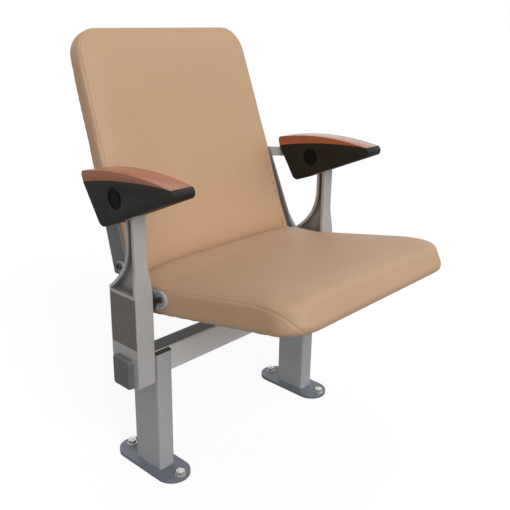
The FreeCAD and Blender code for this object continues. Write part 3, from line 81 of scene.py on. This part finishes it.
# %% Helpers for materials
FACTOR, COLOUR_A, COLOUR_B, MIXED = 0, 6, 7, 2  # a Mix node's sockets for colours, and its result
FROM_LOW, FROM_HIGH, TO_LOW, TO_HIGH = 1, 2, 3, 4  # a Map Range node's sockets


def linear(code):
    """The linear colour of an sRGB hex value."""
    channels = [int(code[k:k + 2], 16) / 255 for k in (1, 3, 5)]
    return [c / 12.92 if c <= 0.04045 else ((c + 0.055) / 1.055) ** 2.4 for c in channels] + [1]


def add(tree, kind, inputs=None, **settings):
    """Adds a node: settings are its properties, inputs are values or sockets to link."""
    node = tree.nodes.new(kind)
    for name, value in settings.items():
        setattr(node, name, value)
    for socket, value in (inputs or {}).items():
        if isinstance(value, bpy.types.NodeSocket):
            tree.links.new(value, node.inputs[socket])
        else:
            node.inputs[socket].default_value = value
    return node


def new_material(name):
    """An empty material with its output, and its tree."""
    material = bpy.data.materials.new(name)
    material.use_nodes = True
    material.node_tree.nodes.clear()
    return material, material.node_tree


def finish_material(tree, shader):
    """Joins a shader to the material's output."""
    add(tree, "ShaderNodeOutputMaterial", {"Surface": shader.outputs[0]})


def dress(material, *names):
    """Gives a finish to nodes of the frame."""
    for name in names:
        for slot in nodes[name].material_slots:
            slot.material = material


def both(name):
    """The names of a left and right pair."""
    return name + "_left", name + "_right"


# %% [markdown]
# ## Powder coated steel and iron
# The casting, legs and beam are sprayed with powder and baked. The coat is a smooth
# satin skin with a faint orange peel of waves about 2 mm wide. It is made a little paler
# over an edge, partly as wear and partly as a painted highlight, and darker in a recess
# as painted shade. A Bevel node finds the edges and an ambient occlusion node the
# recesses, so neither needs a texture image.

# %% Coated metal
EDGE_MM, RECESS_MM, CLOUDS_PER_METRE = 1.6, 35, 12


def coated_metal(name, colour, pale, peel_mm=1.6, roughness=0.36, peel_depth=0.035):
    material, tree = new_material(name)
    place = add(tree, "ShaderNodeTexCoord").outputs["Object"]
    cloud = add(tree, "ShaderNodeTexNoise", {"Vector": place, "Scale": CLOUDS_PER_METRE, "Detail": 3})
    peel = add(tree, "ShaderNodeTexNoise", {"Vector": place, "Scale": 1 / (peel_mm * MM), "Detail": 2})
    flat = add(tree, "ShaderNodeNewGeometry").outputs["Normal"]
    rounded = add(tree, "ShaderNodeBevel", {"Radius": EDGE_MM * MM}, samples=6)
    along = add(tree, "ShaderNodeVectorMath", {0: flat, 1: rounded.outputs[0]}, operation="DOT_PRODUCT")
    # Paler along edges in patches: partly wear, partly a painted highlight.
    edge = add(tree, "ShaderNodeMapRange", {
        "Value": along.outputs["Value"], FROM_LOW: 1.0, FROM_HIGH: 0.72, TO_LOW: 0.0, TO_HIGH: 1.0})
    edge_wear_and_highlight = add(tree, "ShaderNodeMath", {0: edge.outputs[0], 1: cloud.outputs[0]}, operation="MULTIPLY")
    tint = add(tree, "ShaderNodeMix", {
        FACTOR: cloud.outputs[0], COLOUR_A: linear(colour), COLOUR_B: linear(pale)}, data_type="RGBA")
    tone = add(tree, "ShaderNodeMix", {
        FACTOR: 0.35, COLOUR_A: linear(colour), COLOUR_B: tint.outputs[MIXED]}, data_type="RGBA")
    paint = add(tree, "ShaderNodeMix", {
        FACTOR: edge_wear_and_highlight.outputs[0], COLOUR_A: tone.outputs[MIXED], COLOUR_B: linear(pale)},
        data_type="RGBA")
    # Darker in recesses by ambient occlusion: painted shade.
    recess = add(tree, "ShaderNodeAmbientOcclusion", {
        "Distance": RECESS_MM * MM}, samples=6, only_local=True)
    painted_recess_shade = add(tree, "ShaderNodeMapRange", {
        "Value": recess.outputs["AO"], FROM_LOW: 0.45, FROM_HIGH: 0.95, TO_LOW: 0.45, TO_HIGH: 1.0})
    shaded = add(tree, "ShaderNodeMix", {
        FACTOR: 1.0, COLOUR_A: paint.outputs[MIXED], COLOUR_B: painted_recess_shade.outputs[0]},
                 data_type="RGBA", blend_type="MULTIPLY")
    satin = add(tree, "ShaderNodeMapRange", {
        "Value": cloud.outputs[0], TO_LOW: roughness - 0.05, TO_HIGH: roughness + 0.07})
    bump = add(tree, "ShaderNodeBump", {
        "Height": peel.outputs[0], "Distance": peel_depth * MM, "Strength": 0.6})
    shader = add(tree, "ShaderNodeBsdfPrincipled", {
        "Base Color": shaded.outputs[MIXED], "Roughness": satin.outputs[0], "Metallic": 0.1,
        "IOR": 1.4, "Normal": bump.outputs[0]})
    finish_material(tree, shader)
    return material


cast_iron_grey = coated_metal("powder_coated_cast_iron", "#AFACAA", "#D2CFCD", peel_mm=2.2,
                              peel_depth=0.06)
steel_grey = coated_metal("powder_coated_steel", "#A4A5A6", "#CBCCCC")
# The beam wears the legs' steel coat, painted paler so that its face under the seat's shadow looks lit:
# painted light.
beam_grey_painted_light = coated_metal("powder_coated_beam_painted_light", "#D2CDCB", "#DFDCDA")
# The floor plates' coat is painted darker and bluer than the steel, standing in for the dark reflection
# on their tops: painted reflection.
plate_grey_painted_shade = coated_metal("powder_coated_plate_painted_shade", "#70737E", "#969AA3")
bracket_grey = coated_metal("powder_coated_bracket", "#6E7175", "#9B9C9E")
dress(cast_iron_grey, *both("standard"))
dress(steel_grey, *both("leg"), *both("leg_saddle"), *both("arm_strap"), *both("hinge_plate"))
dress(beam_grey_painted_light, "cross_beam")
dress(plate_grey_painted_shade, *both("floor_plate"))
dress(bracket_grey, *both("back_bar"))
print("coated metal: 5 finishes")


# %% [markdown]
# ## Bright metal
# Nuts, washers, bolts and the hinge axle are plated or turned. Plating and turning both
# leave a fine cloudy roughness, so a reflection is soft and a little uneven. The bolts of
# the back bars are oiled dark. The hinge's bushes take the same dark steel as painted
# shade, for the shadow they sit in beside the standard.

# %% Bright metal
def bright_metal(name, colour, roughness, cloud_mm=3.0):
    material, tree = new_material(name)
    place = add(tree, "ShaderNodeTexCoord").outputs["Object"]
    cloud = add(tree, "ShaderNodeTexNoise", {
        "Vector": place, "Scale": 1 / (cloud_mm * MM), "Detail": 3})
    blur = add(tree, "ShaderNodeMapRange", {
        "Value": cloud.outputs[0], TO_LOW: roughness - 0.08, TO_HIGH: roughness + 0.1})
    bump = add(tree, "ShaderNodeBump", {
        "Height": cloud.outputs[0], "Distance": 0.02 * MM, "Strength": 0.4})
    shader = add(tree, "ShaderNodeBsdfPrincipled", {
        "Base Color": linear(colour), "Metallic": 1.0, "Roughness": blur.outputs[0],
        "Normal": bump.outputs[0]})
    finish_material(tree, shader)
    return material


zinc = bright_metal("zinc_plated_steel", "#D2D1CC", 0.3)
bright_steel = bright_metal("turned_steel", "#C9C9C9", 0.24, cloud_mm=1.5)
dark_steel_and_shade = bright_metal("oiled_steel_dark_and_painted_shade", "#5E5D5B", 0.36, cloud_mm=0.8)
dress(zinc, "floor_washers", "floor_nuts", "saddle_bolts", "clamp_screws", "seat_panel_screws",
      "backrest_panel_screws", "arm_bolts", "arm_nuts", *both("torsion_spring"))
dress(bright_steel, *both("pivot_axle"), *both("stop_lever"), "axle_circlips")
# The pivot bushes get this dark steel as painted shade, where they sit in shadow.
dress(dark_steel_and_shade, "lug_bolts", "strap_bolts", "hinge_screws", *both("pivot_bush"))
print("bright metal: 3 finishes")


# %% [markdown]
# ## Anchor studs
# A stud stands in each of the four floor nuts and ends a thread above it. It is round
# bar with a small chamfer at its end, so a cone with equal radii and a bevel make it.

# %% Anchor studs
def new_piece(name, mesh_or_bmesh, material, body):
    """An object at the origin that rides on a body and takes its finish from a slot."""
    mesh = mesh_or_bmesh
    if isinstance(mesh, bmesh.types.BMesh):
        mesh = bpy.data.meshes.new(name)
        mesh_or_bmesh.to_mesh(mesh)
        mesh_or_bmesh.free()
    mesh.materials.clear()
    mesh.materials.append(material)
    piece = bpy.data.objects.new(name, mesh)
    bpy.context.scene.collection.objects.link(piece)
    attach(piece, body)
    return piece


STUD_X, STUD_Y = 0.23, 0.08
STUD_RADIUS, STUD_FOOT, STUD_ABOVE, STUD_CHAMFER = 4.9 * MM, 9 * MM, 1.5 * MM, 0.8 * MM
nuts = nodes["floor_nuts"]
nut_top = max((nuts.matrix_world @ v.co).z for v in nuts.data.vertices)
height = nut_top + STUD_ABOVE - STUD_FOOT
studs = bmesh.new()
for x in (-STUD_X, STUD_X):
    for y in (-STUD_Y, STUD_Y):
        middle = Matrix.Translation((x, y, STUD_FOOT + height / 2))
        bmesh.ops.create_cone(studs, cap_ends=True, segments=32, radius1=STUD_RADIUS,
                              radius2=STUD_RADIUS, depth=height, matrix=middle)
rims = [e for e in studs.edges if all(v.co.z > nut_top for v in e.verts)]
bmesh.ops.bevel(studs, geom=rims, affect="EDGES", offset=STUD_CHAMFER, segments=1, profile=0.5,
                material=-1)
anchor_studs = new_piece("anchor_studs", studs, zinc, "frame")
print("anchor studs:", len(anchor_studs.data.polygons), "faces")


# %% [markdown]
# ## Moulded plastic and rubber
# The armrest bodies, caps and covers are moulded in a spark eroded tool, which leaves
# a fine even grain. The grain is matt, so only a soft sheen shows on the faces. Real
# grain is about 0.3 mm, and it is drawn coarser here so that it shows at all.

# %% Moulded plastic
def moulded(name, colour, pale, grain_mm=0.9, roughness=0.5, depth=0.05, ior=1.33):
    material, tree = new_material(name)
    place = add(tree, "ShaderNodeTexCoord").outputs["Object"]
    grain = add(tree, "ShaderNodeTexVoronoi", {
        "Vector": place, "Scale": 1 / (grain_mm * MM)}, feature="SMOOTH_F1")
    cloud = add(tree, "ShaderNodeTexNoise", {"Vector": place, "Scale": 25, "Detail": 4})
    tone = add(tree, "ShaderNodeMix", {
        FACTOR: cloud.outputs[0], COLOUR_A: linear(colour), COLOUR_B: linear(pale)}, data_type="RGBA")
    rough = add(tree, "ShaderNodeMapRange", {
        "Value": cloud.outputs[0], TO_LOW: roughness - 0.06, TO_HIGH: roughness + 0.08})
    bump = add(tree, "ShaderNodeBump", {
        "Height": grain.outputs[0], "Distance": depth * MM, "Strength": 0.7})
    shader = add(tree, "ShaderNodeBsdfPrincipled", {
        "Base Color": tone.outputs[MIXED], "Roughness": rough.outputs[0],
        "Normal": bump.outputs[0], "IOR": ior})
    finish_material(tree, shader)
    return material


black_moulding = moulded("moulded_nylon_black", "#1B1A16", "#24231E")
plug_black = moulded("polished_plug_black", "#0B0B0A", "#100F0E", roughness=0.3, depth=0.01, ior=1.2)
grey_moulding = moulded("moulded_cap_grey", "#646463", "#6B6B6A")
black_rubber = moulded("moulded_rubber_black", "#1D1D1C", "#262625", grain_mm=0.6, roughness=0.7)
taupe_cover = moulded("moulded_cover_taupe", "#706A65", "#77726D")
# The beam's top strip is dressed dark to stand in for the shade and dark reflection on the beam's top:
# painted shade.
beam_top_shade_strip = moulded("painted_shade_strip_dark", "#3F3F3B", "#484843", roughness=0.42)
dress(black_moulding, *both("armrest_body"), *both("leg_cap"), "seat_underside_panel", "backrest_panel")
dress(plug_black, "arm_plugs")
dress(grey_moulding, *both("beam_end_cap"))
dress(black_rubber, *both("down_buffer"), *both("up_buffer"))
dress(taupe_cover, *both("side_cover"))
dress(beam_top_shade_strip, "beam_strip")
print("plastic and rubber: 6 finishes")


# %% [markdown]
# ## Lacquered wood
# The armrest tops are beech stained a reddish cherry and lacquered. Grain runs along
# the arm, so the pattern is stretched in Y, with fine dark pores a few mm long. The
# lacquer is a coat over the wood, which gives the top its pale gloss at a low angle.

# %% Wood
PORE_MM, BENDS_PER_METRE = 1.1, 60


def wood(name, dark, light, roughness, coat, grain_mm=4.0, stretch=0.05):
    material, tree = new_material(name)
    place = add(tree, "ShaderNodeTexCoord").outputs["Object"]
    along = add(tree, "ShaderNodeMapping", {"Vector": place, "Scale": (1, stretch, 1)})
    bend = add(tree, "ShaderNodeTexNoise", {
        "Vector": along.outputs[0], "Scale": BENDS_PER_METRE, "Detail": 4, "Distortion": 0.6})
    rings = add(tree, "ShaderNodeTexNoise", {
        "Vector": along.outputs[0], "Scale": 1 / (grain_mm * MM), "Detail": 6, "Roughness": 0.62})
    pores = add(tree, "ShaderNodeTexVoronoi", {"Vector": along.outputs[0], "Scale": 1 / (PORE_MM * MM)})
    pore = add(tree, "ShaderNodeMapRange", {
        "Value": pores.outputs[0], FROM_LOW: 0.05, FROM_HIGH: 0.3, TO_LOW: 0.75, TO_HIGH: 1.0})
    blend = add(tree, "ShaderNodeMix", {
        FACTOR: bend.outputs[0], COLOUR_A: linear(dark), COLOUR_B: linear(light)}, data_type="RGBA")
    grain = add(tree, "ShaderNodeMix", {
        FACTOR: rings.outputs[0], COLOUR_A: linear(dark), COLOUR_B: blend.outputs[MIXED]},
                data_type="RGBA")
    colour = add(tree, "ShaderNodeMix", {
        FACTOR: 1.0, COLOUR_A: grain.outputs[MIXED], COLOUR_B: pore.outputs[0]},
                 data_type="RGBA", blend_type="MULTIPLY")
    bump = add(tree, "ShaderNodeBump", {
        "Height": rings.outputs[0], "Distance": 0.04 * MM, "Strength": 0.4})
    shader = add(tree, "ShaderNodeBsdfPrincipled", {
        "Base Color": colour.outputs[MIXED], "Roughness": roughness, "Specular IOR Level": 0.5,
        "Coat Weight": coat, "Coat IOR": 1.5, "Coat Roughness": 0.25, "Normal": bump.outputs[0]})
    finish_material(tree, shader)
    return material


cherry_wood = wood("lacquered_beech_cherry", "#96491E", "#C87436", roughness=0.45, coat=1.0)
plywood = wood("birch_plywood", "#B99A6E", "#D8BE93", roughness=0.6, coat=0.0, grain_mm=6.0)
dress(cherry_wood, *both("armrest_top"))
dress(plywood, "seat_board", "seat_rails", "backrest_board", "backrest_rails")
print("wood: 2 finishes")


# %% [markdown]
# ## Leatherette
# The cushions are covered in a vinyl coated cloth. Its skin is embossed with pebbles
# about 1.5 mm across and creases between them, and it has a low satin shine.

# %% Leatherette
PINCH_MM = 0.7


def leatherette(name, colour, light, pebble_mm=1.6):
    material, tree = new_material(name)
    place = add(tree, "ShaderNodeTexCoord").outputs["Object"]
    pebble = add(tree, "ShaderNodeTexVoronoi", {
        "Vector": place, "Scale": 1 / (pebble_mm * MM), "Randomness": 0.9}, feature="SMOOTH_F1")
    pinch = add(tree, "ShaderNodeTexNoise", {
        "Vector": place, "Scale": 1 / (PINCH_MM * MM), "Detail": 2})
    cloud = add(tree, "ShaderNodeTexNoise", {"Vector": place, "Scale": 7, "Detail": 3})
    skin = add(tree, "ShaderNodeMath", {
        0: pinch.outputs[0], 1: 0.4, 2: pebble.outputs[0]}, operation="MULTIPLY_ADD")
    tone = add(tree, "ShaderNodeMix", {
        FACTOR: cloud.outputs[0], COLOUR_A: linear(colour), COLOUR_B: linear(light)}, data_type="RGBA")
    # Darker in the creases between pebbles: painted shade.
    crease = add(tree, "ShaderNodeMapRange", {
        "Value": pebble.outputs[0], FROM_LOW: 0.35, FROM_HIGH: 0.75, TO_LOW: 1.0, TO_HIGH: 0.94})
    crease_shaded = add(tree, "ShaderNodeMix", {
        FACTOR: 1.0, COLOUR_A: tone.outputs[MIXED], COLOUR_B: crease.outputs[0]},
               data_type="RGBA", blend_type="MULTIPLY")
    rough = add(tree, "ShaderNodeMapRange", {"Value": cloud.outputs[0], TO_LOW: 0.44, TO_HIGH: 0.54})
    bump = add(tree, "ShaderNodeBump", {
        "Height": skin.outputs[0], "Distance": 0.07 * MM, "Strength": 0.5})
    shader = add(tree, "ShaderNodeBsdfPrincipled", {
        "Base Color": crease_shaded.outputs[MIXED], "Roughness": rough.outputs[0], "IOR": 1.42,
        "Sheen Weight": 0.04, "Sheen Roughness": 0.5, "Normal": bump.outputs[0]})
    finish_material(tree, shader)
    return material


tan_leatherette = leatherette("tan_leatherette", "#C29C7A", "#CAA583")
thread_tan = moulded("bonded_thread_tan", "#C9A684", "#D6B593", grain_mm=0.5, roughness=0.6)
print("leatherette: 1 finish, and its thread")


# %% [markdown]
# ## Softened edges
# Lacquered wood and mouldings have no knife edges. A copy of each armrest part has its
# split corners merged and its flat facets joined. A Bevel modifier then rounds every
# edge that is sharper than the steps of the curved top.

# %% Softened edges
MERGE, FLAT, SHARP = 0.01 * MM, math.radians(0.5), math.radians(38)
WOOD_ROUND, SHELL_ROUND = 2.2 * MM, 1.2 * MM


def applied(piece):
    """Gives a piece the mesh that its modifiers make, and removes them."""
    shown = piece.evaluated_get(bpy.context.evaluated_depsgraph_get())
    mesh = bpy.data.meshes.new_from_object(shown)
    piece.modifiers.clear()
    piece.data = mesh
    return mesh


def softened(name, node, width, material, body):
    """A copy of a node with its sharp edges rounded, shown in the node's place."""
    joined = bmesh.new()
    joined.from_mesh(nodes[node].data)
    bmesh.ops.remove_doubles(joined, verts=joined.verts, dist=MERGE)
    bmesh.ops.dissolve_limit(joined, angle_limit=FLAT, verts=joined.verts, edges=joined.edges)
    for face in joined.faces:
        face.smooth = True
    piece = new_piece(name, joined, material, body)
    bevel = piece.modifiers.new("soft_edge", "BEVEL")
    bevel.limit_method, bevel.angle_limit = "ANGLE", SHARP
    bevel.width, bevel.segments, bevel.harden_normals = width, 3, True
    applied(piece)
    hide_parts(node)
    print(name, len(piece.data.polygons), "faces")


for side in ("left", "right"):
    softened("armrest_wood_" + side, "armrest_top_" + side, WOOD_ROUND, cherry_wood, "frame")
    softened("armrest_shell_" + side, "armrest_body_" + side, SHELL_ROUND, black_moulding, "frame")


# %% [markdown]
# ## The cushions
# Each pad is foam on a board, pulled tight under its cover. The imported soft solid
# gives its outline. A copy of it is remeshed evenly, then swollen a few mm by cloth
# pressure, so that it is fullest away from its edges, as stretched fabric is. Only the
# outward part of the cloth's movement is kept, and it is evened out between neighbours.

# %% Where the seat and the backrest lie
SEAT_PIVOT, SEAT_TILT = Vector((0, -27, 388)) * MM, math.radians(-10)
BACK_FOOT, BACK_LEAN = Vector((0, 39, 412)) * MM, math.radians(-19.2)
BACK_HALF_WIDTH, BACK_HEIGHT, BACK_TAPER = 243, 494, math.radians(2.3)
seat_frame = Matrix.Translation(SEAT_PIVOT) @ Matrix.Rotation(SEAT_TILT, 4, "X")
back_frame = Matrix.Translation(BACK_FOOT) @ Matrix.Rotation(BACK_LEAN, 4, "X")


# %% Swell a pad
VOXEL, PRESSURE, CAP, FRAMES, EVENINGS = 5.8 * MM, 4.0, 2.5 * MM, 20, 12


def evened(amounts, edges, times):
    """Amounts on a mesh's vertices, each time averaged with those of its neighbours."""
    for _ in range(times):
        total, count = list(amounts), [1] * len(amounts)
        for one, other in edges:
            total[one] += amounts[other]
            total[other] += amounts[one]
            count[one] += 1
            count[other] += 1
        amounts = [t / n for t, n in zip(total, count)]
    return amounts


def swollen(name, node, held, shaped):
    """A remeshed copy of a soft solid, swollen under its cover. held says what stays."""
    mesh = nodes[node].data.copy()
    pad = bpy.data.objects.new(name, mesh)
    bpy.context.scene.collection.objects.link(pad)
    joined = bmesh.new()
    joined.from_mesh(mesh)
    bmesh.ops.remove_doubles(joined, verts=joined.verts, dist=MERGE)
    joined.to_mesh(mesh)
    joined.free()
    remesh = pad.modifiers.new("even", "REMESH")
    remesh.mode, remesh.voxel_size, remesh.use_smooth_shade = "VOXEL", VOXEL, True
    mesh = applied(pad)
    start = [(v.co.copy(), v.normal.copy()) for v in mesh.vertices]
    group = pad.vertex_groups.new(name="held")
    group.add([k for k, (place, _) in enumerate(start) if held(place)], 1.0, "REPLACE")
    cloth = pad.modifiers.new("cloth", "CLOTH")
    cloth.settings.use_pressure = True
    cloth.settings.uniform_pressure_force = PRESSURE
    cloth.settings.vertex_group_mass = "held"
    cloth.settings.effector_weights.gravity = 0
    for number in range(1, FRAMES + 1):
        bpy.context.scene.frame_set(number)
    mesh = applied(pad)
    outward = [(v.co - place).dot(normal) for v, (place, normal) in zip(mesh.vertices, start)]
    print(name, "moved outward by up to", round(max(outward) / MM, 1), "mm before the cap")
    amounts = [max(0, min(CAP, amount)) for amount in outward]
    amounts = evened(amounts, [tuple(edge.vertices) for edge in mesh.edges], EVENINGS)
    for vertex, (place, normal), amount in zip(mesh.vertices, start, amounts):
        vertex.co = place + normal * amount
    bpy.context.scene.frame_set(1)
    for vertex in mesh.vertices:
        vertex.co = shaped(vertex.co)
    finer = pad.modifiers.new("finer", "SUBSURF")
    finer.levels = finer.render_levels = 1
    mesh = applied(pad)
    bpy.data.objects.remove(pad)
    print(name, "swollen mesh:", len(mesh.polygons), "faces")
    return mesh


# %% [markdown]
# ## Seams
# Where two panels of cover meet, the thread pulls a narrow valley into the foam, and
# a row of stitches runs beside it. A seam here is a path laid on the pad's surface.
# Faces near it are divided finer, and pushed in by a smooth valley.

# %% Sew a seam
def laid_on(pad, path, spacing=1.5 * MM):
    """The path's points at an even spacing, each moved to the pad's nearest place."""
    tree = BVHTree.FromBMesh(pad)
    spots = []
    for start, end in zip(path, path[1:]):
        steps = max(1, round((end - start).length / spacing))
        spots += [start.lerp(end, k / steps) for k in range(steps)]
    return [tree.find_nearest(spot)[:2] for spot in spots + [path[-1]]]


def near_path(spots, reach):
    """A measure of how far a place is from a path, up to a reach."""
    tree = KDTree(len(spots))
    for k, (place, _) in enumerate(spots):
        tree.insert(place, k)
    tree.balance()
    return lambda place: min(tree.find(place)[2], reach)


def sew(pad, path, half_width=3 * MM, depth=0.9 * MM):
    """Presses a seam's valley into the pad along a path."""
    spots = laid_on(pad, path)
    distance = near_path(spots, 4 * half_width)
    fine = [e for e in pad.edges if distance((e.verts[0].co + e.verts[1].co) / 2) < 1.6 * half_width]
    bmesh.ops.subdivide_edges(pad, edges=fine, cuts=1, use_grid_fill=True)
    pad.normal_update()
    for vertex in pad.verts:
        away = distance(vertex.co)
        if away < half_width:
            vertex.co -= vertex.normal * depth * (1 + math.cos(math.pi * away / half_width)) / 2
    return spots


def stitches(name, pad, path, body, pitch=4.2 * MM, length=3.0 * MM, thickness=0.7 * MM):
    """A row of stitches along a path on the pad, as one piece."""
    spots = laid_on(pad, path, pitch)
    row = bmesh.new()
    for (place, normal), (following, _) in zip(spots, spots[1:]):
        run = following - place
        if run.length < pitch / 3:
            continue
        axes = (run.normalized(), normal.cross(run).normalized(), normal)
        turned = Matrix(axes).transposed().to_4x4()
        shape = Matrix.Diagonal((length / 2, thickness / 2, thickness / 2, 1))
        raised = Matrix.Translation(place + normal * 0.1 * MM)
        bmesh.ops.create_uvsphere(row, u_segments=8, v_segments=5, radius=1,
                                  matrix=raised @ turned @ shape)
    for face in row.faces:
        face.smooth = True
    return new_piece(name, row, thread_tan, body)


# %% [markdown]
# ## The backrest's cover
# Its front panel meets the side strip just inside the front edge. The seam goes up one
# side, round the two top corners and down the other, with a row of stitches inside it.

# %% Backrest cushion
def rounded(corners, radii, steps=10):
    """Points along straight runs with round corners, in two coordinates."""
    points = [corners[0]]
    for before, corner, after, radius in zip(corners, corners[1:], corners[2:], radii):
        inward, outward = (before - corner).normalized(), (after - corner).normalized()
        half = inward.angle(outward) / 2
        start = corner + inward * radius / math.tan(half)
        end = corner + outward * radius / math.tan(half)
        centre = corner + (inward + outward).normalized() * radius / math.sin(half)
        for k in range(steps + 1):
            spoke = (start - centre).lerp(end - centre, k / steps)
            points.append(centre + spoke.normalized() * radius)
    return points + [corners[-1]]


CORNER_RADIUS = 50


def back_line(inset, depth):
    """The backrest's outline, drawn in by an inset, at a depth from its front plane."""
    low, high = 6, BACK_HEIGHT - inset
    half = [BACK_HALF_WIDTH - inset - height * math.tan(BACK_TAPER) for height in (low, high)]
    corners = [Vector((-half[0], low)), Vector((-half[1], high)),
               Vector((half[1], high)), Vector((half[0], low))]
    plan = rounded(corners, (CORNER_RADIUS, CORNER_RADIUS))
    return [back_filled(back_frame @ (Vector((p.x, depth, p.y)) * MM)) for p in plan]


def behind_cover(place):
    """Whether a place is on the edge that is pulled round the board."""
    return (back_frame.inverted() @ place).y > 33 * MM


def eased(share):
    """A smooth rise from 0 to 1 as the share goes from 0 to 1."""
    share = max(0, min(1, share))
    return share * share * (3 - 2 * share)


SIDE_FULLNESS, FOOT_FORWARD, FOOT_HANG = 4.5, 3, 10


def back_filled(place):
    """The foam hangs a little under its board, and stands out at both sides."""
    spot = back_frame.inverted() @ place
    hang = eased(1 - spot.z / (70 * MM)) * eased(1 - (spot.y - 10 * MM) / (30 * MM))
    out = eased((abs(spot.x) - 150 * MM) / (80 * MM)) * eased((spot.z - 80 * MM) / (150 * MM))
    out *= 1 - 0.8 * eased((spot.z - 420 * MM) / (74 * MM))
    sideways = math.copysign(SIDE_FULLNESS * out, spot.x)
    return back_frame @ (spot + Vector((sideways, -FOOT_FORWARD * hang, -FOOT_HANG * hang)) * MM)


back_pad = bmesh.new()
back_mesh = swollen("backrest_form", "backrest_cushion", behind_cover, back_filled)
back_pad.from_mesh(back_mesh)
sew(back_pad, back_line(inset=3, depth=8))
stitches("backrest_stitches", back_pad, back_line(inset=11, depth=3), "frame")
backrest_cover = new_piece("backrest_cover", back_pad, tan_leatherette, "frame")
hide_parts("backrest_cushion")
print("backrest cover:", len(backrest_cover.data.polygons), "faces")


# %% [markdown]
# ## The seat's cover
# The top panel runs over the nose like a waterfall. A side panel fills each flank,
# and its seam runs level, then turns down round the front corner to the lower edge.

# %% Seat cushion
def seat_line(side, rise):
    """The side seam of the seat, moved up by a rise, as (ahead, across, height)."""
    run = [(-40, 246, 18), (60, 246, 19), (140, 246, 20), (220, 246, 20.5), (270, 246, 19.5),
           (298, 246, 16), (318, 245, 10), (334, 242, 1), (347, 236, -10), (356, 229, -21),
           (361, 224, -31)]
    return [seat_frame @ (Vector((side * across, -far, height + rise)) * MM)
            for far, across, height in run]


def under_cover(place):
    """Whether a place is on the edge that is pulled under the board."""
    return (seat_frame.inverted() @ place).z < -24 * MM


REAR_BACK, REAR_UP = 5, 9


def seat_rear_filled(place):
    """The foam stands up and back at the rear, to meet the backrest."""
    spot = seat_frame.inverted() @ place
    amount = eased((spot.y + 60 * MM) / (100 * MM)) * eased((spot.z + 12 * MM) / (24 * MM))
    return seat_frame @ (spot + Vector((0, REAR_BACK, REAR_UP)) * MM * amount)


seat_pad = bmesh.new()
seat_mesh = swollen("seat_form", "seat_cushion", under_cover, seat_rear_filled)
seat_pad.from_mesh(seat_mesh)
for side in (1, -1):
    sew(seat_pad, seat_line(side, rise=0))
for side, label in ((1, "left"), (-1, "right")):
    stitches("seat_stitches_" + label, seat_pad, seat_line(side, rise=6), "seat")
seat_cover = new_piece("seat_cover", seat_pad, tan_leatherette, "seat")
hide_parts("seat_cushion")
print("seat cover:", len(seat_cover.data.polygons), "faces")


# %% [markdown]
# ## The floor
# The floor is pale and plain. The camera sees it a little brighter than it is lit, so
# that it runs into the white background and still keeps the seat's soft shadow.

# %% Floor
FLOOR_RADIUS, SEEN_GLOW, MIRRORED_GLOW = 40, 0.82, 0.2
floor_mesh = bmesh.new()
bmesh.ops.create_circle(floor_mesh, cap_ends=True, segments=64, radius=FLOOR_RADIUS)
floor_data = bpy.data.meshes.new("floor")
floor_mesh.to_mesh(floor_data)
floor_mesh.free()
floor = bpy.data.objects.new("floor", floor_data)
bpy.context.scene.collection.objects.link(floor)
floor_paint, tree = new_material("studio_floor_white")
seen = add(tree, "ShaderNodeLightPath")
direct = add(tree, "ShaderNodeMath", {
    0: seen.outputs["Is Camera Ray"], 1: seen.outputs["Is Glossy Ray"]},
             operation="MAXIMUM")
shade = add(tree, "ShaderNodeMix", {
    FACTOR: direct.outputs[0], COLOUR_A: linear("#9A9A9A"), COLOUR_B: linear("#8C8C8C")},
            data_type="RGBA")
diffuse = add(tree, "ShaderNodeBsdfDiffuse", {"Color": shade.outputs[MIXED]})
glossy_glow = add(tree, "ShaderNodeMath", {
    0: seen.outputs["Is Glossy Ray"], 1: MIRRORED_GLOW}, operation="MULTIPLY")
glow = add(tree, "ShaderNodeMath", {
    0: seen.outputs["Is Camera Ray"], 1: SEEN_GLOW, 2: glossy_glow.outputs[0]},
           operation="MULTIPLY_ADD")
white = add(tree, "ShaderNodeEmission", {"Color": (1, 1, 1, 1), "Strength": glow.outputs[0]})
finish_material(tree, add(tree, "ShaderNodeAddShader", {0: diffuse.outputs[0], 1: white.outputs[0]}))
floor_data.materials.append(floor_paint)


# %% [markdown]
# ## The light
# A white sky lights everything evenly, and the camera and glossy rays see it at full
# white. One broad soft lamp stands ahead of the seat, and a weaker one on the left.

# %% Light
AMBIENT, KEY, FILL = 0.46, 1.62, 0.25
world = bpy.data.worlds.new("studio")
world.use_nodes = True
tree = world.node_tree
tree.nodes.clear()
seen = add(tree, "ShaderNodeLightPath")
direct = add(tree, "ShaderNodeMath", {
    0: seen.outputs["Is Camera Ray"], 1: seen.outputs["Is Glossy Ray"]},
             operation="MAXIMUM")
level = add(tree, "ShaderNodeMapRange", {"Value": direct.outputs[0], TO_LOW: AMBIENT, TO_HIGH: 1.0})
sky = add(tree, "ShaderNodeBackground", {"Color": (1, 1, 1, 1), "Strength": level.outputs[0]})
add(tree, "ShaderNodeOutputWorld", {"Surface": sky.outputs[0]})
bpy.context.scene.world = world


def soft_sun(name, towards, strength, spread):
    """A broad lamp far away, in the direction that towards points."""
    lamp = bpy.data.lights.new(name, "SUN")
    lamp.energy, lamp.angle = strength, math.radians(spread)
    holder = bpy.data.objects.new(name, lamp)
    holder.rotation_euler = Vector(towards).to_track_quat("Z", "Y").to_euler()
    bpy.context.scene.collection.objects.link(holder)


soft_sun("key", (-0.28, -0.82, 0.5), KEY, spread=40)
soft_sun("fill", (0.7, -0.3, 0.65), FILL, spread=60)
bpy.context.scene.view_settings.view_transform = "Standard"
print("light: ambient", AMBIENT, "key", KEY, "fill", FILL)
